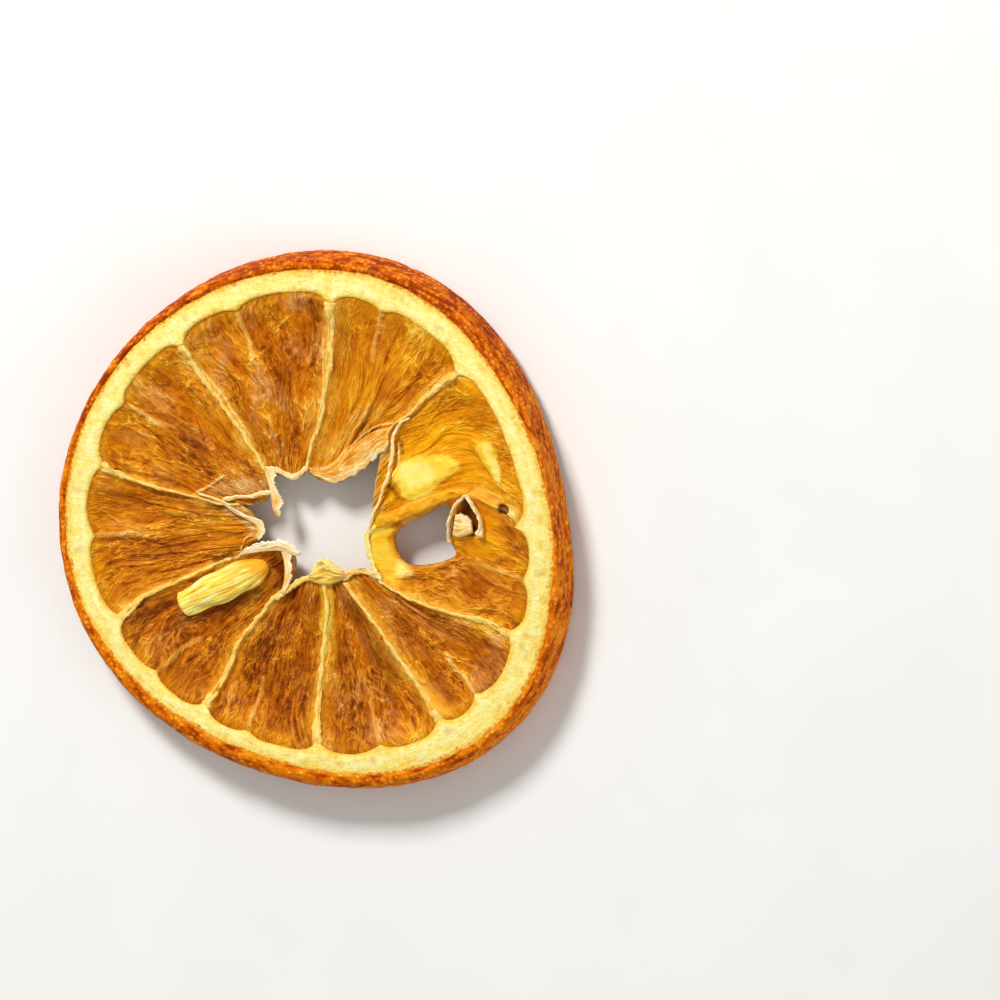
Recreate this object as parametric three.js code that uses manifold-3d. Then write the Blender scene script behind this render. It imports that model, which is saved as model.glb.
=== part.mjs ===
// A dried mandarin slice, lying flat with its better face up.
//
// The slice is one solid: a ring of peel and pith, a thin shrunken sheet of ten pulp segments
// inside it, the walls between the segments as standing ridges, a torn hole where the core was,
// a second hole where a pip fell out, and the pips and shreds that dried fast to the pulp.
//
// Lengths are in millimetres and angles in degrees, counted anticlockwise from +X.
// +Z is up, and the origin is under the middle of the slice, on the surface that it lies on.
// The slice is first worked out as if it had dried flat, and its waviness is added last.

import * as THREE from "three";
import { mergeVertices } from "three/addons/utils/BufferGeometryUtils.js";
import Module from "manifold-3d";

// The ring of peel and pith
const RING_HEIGHT = 4.5;
const PITH_INNER_RADIUS = 23.2;
const PITH_OUTER_RADIUS = 25.5;
const PEEL_WIDTH = 1.0;
const PEEL_SWELL = 0.3;
const PEEL_SWELL_DIRECTION = 300;
const PEEL_UNEVENNESS = 0.1;

// The ring isn't round: each lobe is [how many times it repeats, height, direction]
const LOBES = [
  [2, 0.38, -55],
  [3, 0.8, -47],
  [4, 0.17, 43],
];
const INNER_SHARE_OF_LOBES = 0.7;

// The pith runs inwards in a sharp cusp at each segment wall and at each notch between two walls
const WALL_CUSP = 1.2;
const NOTCH_CUSP = 0.75;
const CUSP_SPREAD = 0.75;

// The ring's surface from its upper inner lip, over the peel, to its lower inner lip.
// Each entry is [share of the pith's width, share of the peel's width, share of the height].
const RING_PROFILE = [
  [0.04, 0, 0.95],
  [0.3, 0, 0.99],
  [0.65, 0, 0.985],
  [0.92, 0, 0.97],
  [1, 0.3, 1],
  [1, 0.78, 0.93],
  [1, 1.02, 0.78],
  [1, 1.18, 0.58],
  [1, 1.28, 0.36],
  [1, 1.3, 0.16],
  [1, 1.08, 0.02],
  [1, 0.5, 0],
  [0.6, 0, 0],
  [0.08, 0, 0.03],
];

// The pulp sheet: heights of its two faces at the pith and at the hole
const PULP_TOP_AT_PITH = 3.45;
const PULP_TOP_AT_HOLE = 2.95;
const PULP_BOTTOM_AT_PITH = 1.3;
const PULP_BOTTOM_AT_HOLE = 1.75;
const LIFT_REACH = 0.2;
const FOLD_HEIGHT = 0.13;
const CRUMPLE_HEIGHT = 0.05;
const NOTCH_GROOVE_DEPTH = 0.14;
const NOTCH_GROOVE_DEGREES = 3;
const NOTCH_GROOVE_START = 0.55;
const HOLE_LIP_ROUNDING = 0.2;

// The walls between segments, as ridges above the pulp
const WALL_RIDGE_AT_PITH = 0.75;
const WALL_RIDGE_AT_HOLE = 0.3;
const WALL_SHARE = 0.05;

// The segments in order, each with the wall at its start:
//   wall   angle at which that wall meets the pith
//   root   where that wall ends at the hole
//   bow    how far the wall bows to its left at half length
//   tip    where the edge of the segment comes furthest into the hole
//   notch  angle of the small cusp in the pith inside the segment
//   lift   how far the edge at the tip curls up, or sags if negative
const SEGMENTS = [
  { wall: 1.5, root: [5.4, -0.8], bow: 2.5, tip: [6.2, 3.4], notch: 23, lift: 0.4 },
  { wall: 45.4, root: [7.0, 7.3], bow: 1.2, tip: [2.2, 4.0], notch: 70, lift: -0.8 },
  { wall: 84.4, root: [-0.8, 5.2], bow: -0.55, tip: [-2.6, 4.4], notch: 109.9, lift: 0.2 },
  { wall: 127.4, root: [-4.9, 5.2], bow: 0.5, tip: [-5.1, 2.2], notch: 149.5, lift: -0.3 },
  { wall: 167.1, root: [-7.7, 1.8], bow: 0.25, tip: [-5.7, -0.8], notch: 184.9, lift: 0.3 },
  { wall: 205.6, root: [-7.0, -2.4], bow: -0.6, tip: [-2.6, -3.0], notch: 221.6, lift: 0.5 },
  { wall: 237.4, root: [-3.1, -6.5], bow: -0.55, tip: [-1.4, -5.6], notch: 250.5, lift: 0 },
  { wall: 269.0, root: [0.6, -4.6], bow: 0.15, tip: [1.8, -5.1], notch: 285.6, lift: 0.3 },
  { wall: 302.5, root: [2.8, -5.8], bow: 0.05, tip: [4.3, -4.8], notch: 313.6, lift: 0.1 },
  { wall: 332.3, root: [6.5, -5.5], bow: 0.2, tip: [5.6, -3.0], notch: 346.9, lift: 0.4 },
];

// The hole that a pip left under the first wall: its corners, joined by a smooth curve
const PIP_HOLE = [
  [8.1, -1.3],
  [10.2, 0.3],
  [12.8, 1.3],
  [14.3, 0.9],
  [13.9, -1.4],
  [14.2, -3.1],
  [12.0, -4.1],
  [9.2, -4.0],
];

// Shreds of core that stand at the rim of the torn hole: corners and heights of both faces
const SHREDS = [
  {
    corners: [[-6.0, 4.2], [-4.6, 5.4], [-3.5, 3.2], [-3.4, 1.4], [-4.1, 0.6], [-4.9, 1.6], [-5.0, 2.8]],
    bottom: 2.0,
    top: 3.5,
  },
  {
    corners: [[-1.2, -6.2], [-0.5, -4.6], [0.3, -3.6], [1.6, -4.2], [2.8, -5.5], [1.6, -6.6], [0.2, -6.9]],
    bottom: 1.9,
    top: 3.9,
  },
];

// The pips: ends of the long axis, `beak` as the share of the width that is left at `from`,
// then width, thickness and height of the middle
const PIPS = [
  { from: [-14.4, -8.7], to: [-4.4, -4.0], beak: 0.55, width: 4.1, thickness: 2.5, height: 3.2 },
  { from: [15.6, 6.7], to: [7.8, 4.6], beak: 0.2, width: 4.5, thickness: 2.3, height: 3.0 },
  { from: [19.6, 4.3], to: [16.6, 8.3], beak: 0.1, width: 2.2, thickness: 1.5, height: 3.3 },
  { from: [15.1, 0.5], to: [15.5, -1.6], beak: 0.6, width: 1.9, thickness: 1.4, height: 3.2 },
];
const PIP_WIDEST_AT = 0.62;
const PIP_RINGS = 10;
const PIP_SIDES = 12;

// The split husk of a pip at the far edge of the pip hole: a thin wall, open at its blunt end
const HUSK = { from: [15.9, 3.3], to: [15.5, -2.3], beak: 0, width: 3.6 };
const HUSK_WALL = 0.42;
const HUSK_BOTTOM = 2.0;
const HUSK_FLOOR = 3.0;
const HUSK_TOP = 4.1;

// The slice waves up and down, and stands on three low stretches with flat undersides
const WAVE_HEIGHT = 0.8;
const WAVE_COUNT = 3;
const WAVE_CREST_DIRECTION = 20;
const WAVE_CUT_FLAT = 0.14;

// Where the surface is worked out: across half a segment, and along the pulp's two faces
const HALF_SEGMENT_STEPS = [0, 0.1, 0.26, 0.5, 0.74, 0.9];
const TOP_STEPS = [0, 0.04, 0.1, 0.18, 0.28, 0.38, 0.48, 0.58, 0.68, 0.78, 0.87, 0.94, 0.98, 1];
const BOTTOM_STEPS = [1, 0.95, 0.85, 0.7, 0.55, 0.4, 0.25, 0.12, 0.04, 0];
const OUTLINE_STEPS = 24;

const radians = THREE.MathUtils.degToRad;
const lerp = THREE.MathUtils.lerp;

// A number from -1 to 1 that looks random, always the same for the same two numbers.
function scatter(a, b) {
  const s = Math.sin(a * 12.9898 + b * 78.233) * 43758.5453;
  return (s - Math.floor(s)) * 2 - 1;
}

// How far the ring stands out beyond a circle in this direction.
function lobing(angle) {
  const lobe = ([count, height, direction]) => height * Math.cos(radians(count * (angle - direction)));
  return LOBES.reduce((sum, shares) => sum + lobe(shares), 0);
}

// The angle at which a segment ends, always larger than the angle at which it starts.
function endOfSegment(index) {
  const next = SEGMENTS[(index + 1) % SEGMENTS.length].wall;
  return next > SEGMENTS[index].wall ? next : next + 360;
}

// How far the pith reaches inwards, this many degrees away from the point of a cusp.
function cusp(degreesAway, depth) {
  const away = radians(Math.abs(degreesAway)) * PITH_INNER_RADIUS;
  return depth * Math.exp(-away / CUSP_SPREAD);
}

// The edge of the hole along one segment: a curve from wall to wall through the segment's tip.
function holeEdge(segment, next, share) {
  const pull = [0, 1].map((k) => 2 * segment.tip[k] - (segment.root[k] + next.root[k]) / 2);
  const [a, b, c] = [(1 - share) ** 2, 2 * share * (1 - share), share ** 2];
  return [0, 1].map((k) => a * segment.root[k] + b * pull[k] + c * next.root[k]);
}

// One direction across the slice, `share` of the way through a segment, with what depends on it.
function makeColumn(index, share) {
  const segment = SEGMENTS[index];
  const next = SEGMENTS[(index + 1) % SEGMENTS.length];
  const end = endOfSegment(index);
  const angle = lerp(segment.wall, end, share);
  const cusps =
    cusp(angle - segment.wall, WALL_CUSP) +
    cusp(end - angle, WALL_CUSP) +
    cusp(angle - segment.notch, NOTCH_CUSP);
  return {
    angle,
    direction: [Math.cos(radians(angle)), Math.sin(radians(angle))],
    innerRadius: PITH_INNER_RADIUS + INNER_SHARE_OF_LOBES * lobing(angle) - cusps,
    outerRadius: PITH_OUTER_RADIUS + lobing(angle),
    peelWidth: PEEL_WIDTH + PEEL_SWELL * Math.cos(radians(angle - PEEL_SWELL_DIRECTION)),
    hole: holeEdge(segment, next, share),
    bow: lerp(segment.bow, next.bow, share),
    lift: segment.lift * Math.sin(Math.PI * share),
    wallness: Math.max(0, 1 - Math.min(share, 1 - share) / WALL_SHARE),
    notchness: Math.max(0, 1 - Math.abs(angle - segment.notch) / NOTCH_GROOVE_DEGREES),
    fold: FOLD_HEIGHT * scatter(index, share),
  };
}

// All directions round the slice, closer together at the walls and notches.
function makeColumns() {
  return SEGMENTS.flatMap((segment, index) => {
    const middle = (segment.notch - segment.wall) / (endOfSegment(index) - segment.wall);
    const beforeNotch = HALF_SEGMENT_STEPS.map((t) => t * middle);
    const afterNotch = HALF_SEGMENT_STEPS.map((t) => middle + t * (1 - middle));
    return [...beforeNotch, ...afterNotch].map((share) => makeColumn(index, share));
  });
}

// A point of the pulp sheet seen from above, from the hole's edge at v = 0 to the pith at v = 1.
function pulpPlan(column, v) {
  const span = column.direction.map((x, k) => x * column.innerRadius - column.hole[k]);
  const aside = (column.bow * 4 * v * (1 - v)) / Math.hypot(...span);
  return [column.hole[0] + span[0] * v - span[1] * aside, column.hole[1] + span[1] * v + span[0] * aside];
}

// The height of a wall's ridge above the pulp.
function ridge(column, v) {
  return column.wallness * lerp(WALL_RIDGE_AT_HOLE, WALL_RIDGE_AT_PITH, v * v);
}

// How far the curl of a segment's edge moves the pulp up.
function edgeLift(column, v) {
  return column.lift * Math.max(0, 1 - v / LIFT_REACH) ** 2;
}

// How deep the groove that runs inwards from a notch is.
function groove(column, v) {
  const along = (v - NOTCH_GROOVE_START) / (1 - NOTCH_GROOVE_START);
  return NOTCH_GROOVE_DEPTH * column.notchness * Math.max(0, along);
}

// A point of the pulp's upper face, with its folds, the grooves and fine crumples.
function pulpTop(column, v) {
  const fold = column.fold * Math.sin(Math.PI * Math.min(1, v + 0.1)) * (1 - column.wallness);
  const crumple = CRUMPLE_HEIGHT * scatter(column.angle, v);
  const level = lerp(PULP_TOP_AT_HOLE, PULP_TOP_AT_PITH, v) + edgeLift(column, v);
  return [...pulpPlan(column, v), level + ridge(column, v) + fold + crumple - groove(column, v)];
}

// A point of the pulp's lower face.
function pulpBottom(column, v) {
  const fold = column.fold * Math.sin(Math.PI * v) * (1 - column.wallness);
  const level = lerp(PULP_BOTTOM_AT_HOLE, PULP_BOTTOM_AT_PITH, v) + edgeLift(column, v);
  return [...pulpPlan(column, v), level - ridge(column, v) + fold];
}

// A point of the sheet's edge at the hole, rounded between the two faces.
function holeLip(column) {
  const top = pulpTop(column, 0);
  const bottom = pulpBottom(column, 0);
  const shrink = 1 - HOLE_LIP_ROUNDING / Math.hypot(top[0], top[1]);
  return [top[0] * shrink, top[1] * shrink, (top[2] + bottom[2]) / 2];
}

// A point of the ring's surface at one entry of its profile.
function ringPoint(column, [pithShare, peelShare, heightShare], entry) {
  const uneven = PEEL_UNEVENNESS * scatter(column.angle, entry) * Math.min(1, peelShare);
  const pithRadius = lerp(column.innerRadius, column.outerRadius, pithShare);
  const radius = pithRadius + column.peelWidth * peelShare + uneven;
  return [column.direction[0] * radius, column.direction[1] * radius, heightShare * RING_HEIGHT];
}

// The slice without its pips: rows that go once round its cross-section, columns that go round it.
function sliceGeometry() {
  const columns = makeColumns();
  const rows = [
    ...TOP_STEPS.map((v) => (column) => pulpTop(column, v)),
    ...RING_PROFILE.map((shares, entry) => (column) => ringPoint(column, shares, entry)),
    ...BOTTOM_STEPS.map((v) => (column) => pulpBottom(column, v)),
    holeLip,
  ];
  const positions = rows.flatMap((row) => columns.flatMap((column) => row(column)));
  const indices = [];
  for (let r = 0; r < rows.length; r++) {
    const here = r * columns.length;
    const above = ((r + 1) % rows.length) * columns.length;
    for (let c = 0; c < columns.length; c++) {
      const next = (c + 1) % columns.length;
      indices.push(here + c, above + c, here + next);
      indices.push(here + next, above + c, above + next);
    }
  }
  const geometry = new THREE.BufferGeometry();
  geometry.setAttribute("position", new THREE.Float32BufferAttribute(positions, 3));
  geometry.setIndex(indices);
  return geometry;
}

// Half the width of a pip, as a share of its greatest half width, at t from 0 at `from` to 1 at `to`.
function pipShare(t, beak) {
  if (t < PIP_WIDEST_AT) {
    return lerp(beak, 1, Math.sin((Math.PI / 2) * (t / PIP_WIDEST_AT)));
  }
  const past = (t - PIP_WIDEST_AT) / (1 - PIP_WIDEST_AT);
  return Math.sqrt(1 - past * past);
}

// A pip: a flattened drop, blunt and round at `to`, cut off square at the beak.
function pipGeometry({ from, to, beak, width, thickness, height }) {
  const length = Math.hypot(to[0] - from[0], to[1] - from[1]);
  const profile = [new THREE.Vector2(0, -length / 2)];
  for (let i = 0; i < PIP_RINGS; i++) {
    const t = Math.sin((Math.PI / 2) * (i / PIP_RINGS));
    profile.push(new THREE.Vector2((width / 2) * pipShare(t, beak), (t - 0.5) * length));
  }
  profile.push(new THREE.Vector2(0, length / 2));
  const geometry = new THREE.LatheGeometry(profile, PIP_SIDES);
  geometry.scale(1, 1, thickness / width);
  geometry.rotateZ(Math.atan2(to[1] - from[1], to[0] - from[0]) - Math.PI / 2);
  geometry.translate((from[0] + to[0]) / 2, (from[1] + to[1]) / 2, height);
  return geometry;
}

// An upright prism of an outline, between two heights.
function prism(outline, bottom, top) {
  const settings = { depth: top - bottom, bevelEnabled: false };
  return new THREE.ExtrudeGeometry(new THREE.Shape(outline), settings).translate(0, 0, bottom);
}

// A closed outline that runs smoothly through its corners.
function smoothOutline(corners) {
  const points = corners.map(([x, y]) => new THREE.Vector3(x, y, 0));
  const curve = new THREE.CatmullRomCurve3(points, true, "centripetal");
  return curve.getPoints(OUTLINE_STEPS).slice(0, -1).map((p) => new THREE.Vector2(p.x, p.y));
}

// The outline of the husk, drawn in by `inset`, its blunt end pushed out by `overshoot`.
function huskOutline(inset, overshoot) {
  const { from, to, beak, width } = HUSK;
  const length = Math.hypot(to[0] - from[0], to[1] - from[1]);
  const along = [(to[0] - from[0]) / length, (to[1] - from[1]) / length];
  const side = (sign) =>
    Array.from({ length: PIP_RINGS }, (_, i) => {
      const distance = lerp(inset * 2, length + overshoot, i / PIP_RINGS);
      const aside = sign * (width / 2 - inset) * pipShare(i / PIP_RINGS, beak);
      return new THREE.Vector2(
        from[0] + along[0] * distance - along[1] * aside,
        from[1] + along[1] * distance + along[0] * aside,
      );
    });
  return [...side(1), ...side(-1).slice(1).reverse()];
}

const wasm = await Module();
wasm.setup();

// A closed geometry as a solid. Triangles that shrank to a line at a pole are left out.
function toSolid(geometry) {
  const bare = new THREE.BufferGeometry();
  bare.setAttribute("position", geometry.getAttribute("position"));
  bare.setIndex(geometry.getIndex());
  const merged = mergeVertices(bare, 1e-4);
  const all = Array.from(merged.getIndex().array);
  const kept = [];
  for (let i = 0; i < all.length; i += 3) {
    const [a, b, c] = all.slice(i, i + 3);
    if (a !== b && b !== c && c !== a) {
      kept.push(a, b, c);
    }
  }
  return new wasm.Manifold(
    new wasm.Mesh({
      numProp: 3,
      vertProperties: new Float32Array(merged.getAttribute("position").array),
      triVerts: new Uint32Array(kept),
    }),
  );
}

// The husk: an upright wall along the outline of a pip, and the floor inside it.
function huskSolid() {
  const whole = toSolid(prism(huskOutline(0, 0), HUSK_BOTTOM, HUSK_TOP));
  const hollow = toSolid(prism(huskOutline(HUSK_WALL, HUSK_WALL * 3), HUSK_FLOOR, HUSK_TOP * 2));
  return whole.subtract(hollow);
}

// The whole slice as if it had dried flat.
function flatSliceSolid() {
  const pipHole = toSolid(prism(smoothOutline(PIP_HOLE), -RING_HEIGHT, 2 * RING_HEIGHT));
  const pieces = [
    ...SHREDS.map(({ corners, bottom, top }) => toSolid(prism(smoothOutline(corners), bottom, top))),
    ...PIPS.map((pip) => toSolid(pipGeometry(pip))),
    huskSolid(),
  ];
  return pieces.reduce((sum, piece) => sum.add(piece), toSolid(sliceGeometry()).subtract(pipHole));
}

// How far the waviness moves a point up: not at all at the core, most at the ring.
function wave(x, y) {
  const angle = THREE.MathUtils.radToDeg(Math.atan2(y, x));
  const crest = Math.cos(radians(WAVE_COUNT * (angle - WAVE_CREST_DIRECTION)));
  const atRing = Math.max(0, (WAVE_HEIGHT * (1 + crest)) / 2 - WAVE_CUT_FLAT);
  return atRing * Math.min(1, Math.hypot(x, y) / PITH_INNER_RADIUS) ** 2;
}

// A solid as a geometry again, made wavy, and moved so that the origin is under its middle.
function toWavyGeometry(solid) {
  const { vertProperties, triVerts } = solid.getMesh();
  const position = new THREE.BufferAttribute(vertProperties, 3);
  for (let i = 0; i < position.count; i++) {
    position.setZ(i, position.getZ(i) + wave(position.getX(i), position.getY(i)));
  }
  const geometry = new THREE.BufferGeometry();
  geometry.setAttribute("position", position);
  geometry.setIndex(new THREE.BufferAttribute(triVerts, 1));
  geometry.computeBoundingBox();
  const { min, max } = geometry.boundingBox;
  geometry.translate(-(min.x + max.x) / 2, -(min.y + max.y) / 2, -min.z);
  geometry.computeVertexNormals();
  return geometry;
}

const driedFlesh = new THREE.MeshStandardMaterial({ color: 0xd98a1e, roughness: 0.6, metalness: 0 });
const slice = new THREE.Mesh(toWavyGeometry(flatSliceSolid()), driedFlesh);
slice.name = "mandarin_slice";

const group = new THREE.Group();
group.name = "dried_mandarin";
group.add(slice);

export default group;
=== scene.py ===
"""Dresses a round slice of dried mandarin: peel, pith, pulp, segment walls, torn core and pips."""

import logging
import math
from dataclasses import dataclass
from enum import Enum
from typing import Optional, Sequence, Union

import bpy
import numpy as np
from mathutils import Matrix, Vector

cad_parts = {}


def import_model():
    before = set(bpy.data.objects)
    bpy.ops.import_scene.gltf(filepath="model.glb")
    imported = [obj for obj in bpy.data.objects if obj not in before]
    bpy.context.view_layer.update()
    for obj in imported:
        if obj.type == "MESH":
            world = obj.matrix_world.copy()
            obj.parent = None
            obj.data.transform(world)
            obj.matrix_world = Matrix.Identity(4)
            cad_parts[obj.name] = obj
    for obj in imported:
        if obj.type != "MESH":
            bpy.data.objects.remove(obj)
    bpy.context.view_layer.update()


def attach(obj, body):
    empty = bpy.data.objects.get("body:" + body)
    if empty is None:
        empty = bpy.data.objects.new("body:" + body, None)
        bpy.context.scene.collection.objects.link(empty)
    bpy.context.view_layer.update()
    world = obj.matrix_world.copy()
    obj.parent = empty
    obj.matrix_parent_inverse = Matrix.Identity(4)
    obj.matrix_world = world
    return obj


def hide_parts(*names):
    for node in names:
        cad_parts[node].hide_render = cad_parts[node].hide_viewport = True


LOG = logging.getLogger("dried_mandarin")
NODE = "mandarin_slice"
BODY = "root"
MM = 0.001
CELL_JITTER = 0.85

Array = np.ndarray
Point = tuple[float, float]
Place = tuple[float, float, float]
Tone = tuple[int, int, int]
Tones = tuple[tuple[float, int, int, int], ...]


class Slot(Enum):
    """The record's material slots."""

    PEEL = "peel"
    PITH = "pith"
    PULP = "pulp"
    PIPS = "pips"


class Side(Enum):
    """The two cut faces of the slice."""

    TOP = 1
    UNDER = -1


class Membrane(Enum):
    """The kinds of dried membrane, each with its shade, middle and light tones."""

    WALL = ((222, 150, 40), (246, 198, 92), (254, 228, 146))
    TAN = ((204, 122, 26), (228, 158, 62), (246, 202, 124))
    AMBER = ((204, 116, 6), (232, 156, 18), (248, 194, 56))
    BEIGE = ((218, 134, 26), (240, 182, 84), (254, 232, 178))
    SHRED = ((226, 160, 66), (247, 210, 134), (255, 242, 208))
    WHITE = ((234, 180, 104), (251, 222, 170), (255, 248, 228))
    CREAM = ((222, 168, 54), (246, 212, 104), (254, 240, 168))


# Plain maths

def lerp(start: Union[float, Array], end: Union[float, Array], share: Union[float, Array]) -> Array:
    """Returns the value that lies at a share of the way from start to end."""
    return start + (end - start) * share


def soft_step(low: float, high: float, value: Array) -> Array:
    """Returns 0 below low and 1 above high, with a smooth rise between.

    Args:
        low: Where the rise starts.
        high: Where it ends, which may be below low for a fall.
        value: The values to rate.

    Returns:
        A share from 0 to 1 for each value.
    """
    share = np.clip((value - low) / (high - low), 0, 1)
    return share * share * (3 - 2 * share)


def bell(distance: Array, reach: float) -> Array:
    """Returns 1 where the distance is zero, and falls away smoothly over the reach."""
    return np.exp(-((distance / reach) ** 2))


def round_edge(share: Array) -> Array:
    """Returns the height of a quarter circle, which rises from 0 to 1 over its share inwards."""
    return np.sqrt(1 - (1 - np.clip(share, 0, 1)) ** 2)


def rays(degrees: Array) -> Array:
    """Returns steps of one unit in directions seen from above."""
    turn = np.radians(degrees)
    return np.column_stack([np.cos(turn), np.sin(turn)])


def turn_from(at: float, degrees: Array) -> Array:
    """Returns how far directions are turned from another one, from -180 to 180 degrees."""
    return (degrees - at + 180) % 360 - 180


def lattice_hash(cells: Array, seed: int) -> Array:
    """Scrambles rows of whole numbers into one whole number each.

    Args:
        cells: Whole numbers, one row for each cell.
        seed: Chooses one of many scrambles.

    Returns:
        An unsigned 32-bit number for each row.
    """
    primes = (73856093, 19349663, 83492791)
    mixed = np.full(len(cells), (seed * 2654435761) % 2**32, dtype=np.uint32)
    for column, prime in zip(cells.T, primes):
        mixed ^= column.astype(np.int64).astype(np.uint32) * np.uint32(prime)
        mixed ^= mixed >> np.uint32(15)
        mixed *= np.uint32(2246822519)
        mixed ^= mixed >> np.uint32(13)
    return mixed


def hash_share(scrambled: Array, turn: int) -> Array:
    """Draws one of several shares from 0 to 1 out of each scrambled number."""
    drawn = scrambled * np.uint32(2 * turn + 3266489917)
    drawn ^= drawn >> np.uint32(16)
    return (drawn & np.uint32(0xFFFF)).astype(float) / 65535


def soft_noise(points: Array, seed: int) -> Array:
    """Returns smooth noise from about -1 to 1 with features about one unit wide.

    Args:
        points: Places, one row each, of two or three numbers.
        seed: Chooses one of many patterns.

    Returns:
        The noise at each place.
    """
    size = points.shape[1]
    base = np.floor(points)
    offset = points - base
    fade = offset**3 * (offset * (offset * 6 - 15) + 10)
    total = np.zeros(len(points))
    for corner in np.ndindex(*(2,) * size):
        scrambled = lattice_hash(base + corner, seed)
        weight = np.ones(len(points))
        slope = np.zeros(len(points))
        for axis in range(size):
            near = fade[:, axis] if corner[axis] else 1 - fade[:, axis]
            weight *= near
            slope += (hash_share(scrambled, axis) * 2 - 1) * (offset[:, axis] - corner[axis])
        total += weight * slope
    return total * 1.8


def ridged(points: Array, seed: int, sharpness: float = 2.0) -> Array:
    """Returns thin raised lines from 0 to 1, where soft noise passes through zero."""
    return np.clip(1 - 1.6 * np.abs(soft_noise(points, seed)), 0, 1) ** sharpness


def name_seed(name: str) -> int:
    """Returns a number of a piece's own, worked out from its name, to seed its unevenness."""
    return sum(ord(letter) for letter in name)


@dataclass
class Cells:
    """What a cell pattern gives at each place."""

    nearest: Array
    second: Array
    key: Array
    offset: Array


def cell_pattern(points: Array, seed: int) -> Cells:
    """Finds the nearest of many scattered seeds for each place.

    Args:
        points: Places, one row each, of two or three numbers, with one seed in each unit cell.
        seed: Chooses one of many patterns.

    Returns:
        The two shortest distances, the nearest seed's number and the way to it.
    """
    size = points.shape[1]
    base = np.floor(points)
    nearest = np.full(len(points), 9.0)
    second = np.full(len(points), 9.0)
    key = np.zeros(len(points), dtype=np.uint32)
    offset = np.zeros_like(points)
    for step in np.ndindex(*(3,) * size):
        cell = base + np.array(step) - 1
        scrambled = lattice_hash(cell, seed)
        place = np.column_stack([hash_share(scrambled, axis) for axis in range(size)])
        way = points - (cell + 0.5 + (place - 0.5) * CELL_JITTER)
        distance = np.linalg.norm(way, axis=1)
        closer = distance < nearest
        second = np.where(closer, nearest, np.minimum(second, distance))
        key = np.where(closer, scrambled, key)
        offset[closer] = way[closer]
        nearest = np.where(closer, distance, nearest)
    return Cells(nearest, second, key, offset)


def smooth_path(corners: Sequence[Sequence[float]], count: int, closed: bool = False) -> Array:
    """Runs a smooth curve through the corners.

    Args:
        corners: Places that the curve passes, of two or three numbers each.
        count: How many points to return.
        closed: Whether the curve returns to its start.

    Returns:
        Points evenly spaced along the curve, the last one at its end.
    """
    knots = np.asarray(corners, float)
    if closed:
        knots = np.vstack([knots[-1:], knots, knots[:2]])
    else:
        knots = np.vstack([2 * knots[0] - knots[1], knots, 2 * knots[-1] - knots[-2]])
    share = np.linspace(0, 1, 25)[:-1, None]
    runs = []
    for before, start, end, after in zip(knots, knots[1:], knots[2:], knots[3:]):
        bend = 2 * before - 5 * start + 4 * end - after
        twist = 3 * (start - end) + after - before
        runs.append(start + 0.5 * share * (end - before + share * (bend + share * twist)))
    dense = np.vstack(runs + [knots[-2:-1]])
    lengths = np.concatenate([[0], np.cumsum(np.linalg.norm(np.diff(dense, axis=0), axis=1))])
    even = np.linspace(0, lengths[-1], count)
    return np.column_stack([np.interp(even, lengths, column) for column in dense.T])


def along_path(path: Array, share: Array) -> Array:
    """Returns the points that lie at shares of the way along a path of even points."""
    steps = np.linspace(0, 1, len(path))
    return np.column_stack([np.interp(share, steps, column) for column in path.T])


def path_length(path: Array) -> float:
    """Returns the length of a path."""
    return np.linalg.norm(np.diff(path, axis=0), axis=1).sum()


def path_distance(points: Array, path: Array) -> tuple[Array, Array]:
    """Measures how far places are from a path.

    Args:
        points: Places seen from above.
        path: Points along the path seen from above.

    Returns:
        The distance of each place, and the number of the path's point nearest to it.
    """
    gaps = np.linalg.norm(points[:, None, :] - path[None, :, :], axis=2)
    index = gaps.argmin(axis=1)
    return gaps[np.arange(len(points)), index], index


def inside_loop(points: Array, loop: Array) -> Array:
    """Tells which places seen from above lie inside a closed loop."""
    inside = np.zeros(len(points), dtype=bool)
    x, y = points.T
    for (ax, ay), (bx, by) in zip(loop, np.roll(loop, -1, axis=0)):
        if ay == by:
            continue
        crosses = (ay > y) != (by > y)
        inside ^= crosses & (x < (bx - ax) * (y - ay) / (by - ay) + ax)
    return inside


# The slice seen from above

@dataclass(frozen=True)
class Wall:
    """One membrane between two segments, from the torn core to the pith."""

    angle: float
    notch: Optional[float]
    tip: Point
    lift: float
    width: float
    route: tuple[Point, ...]

    @property
    def seed(self) -> int:
        """Returns a number of the wall's own for its unevenness."""
        return int(self.angle) + 900


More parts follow.
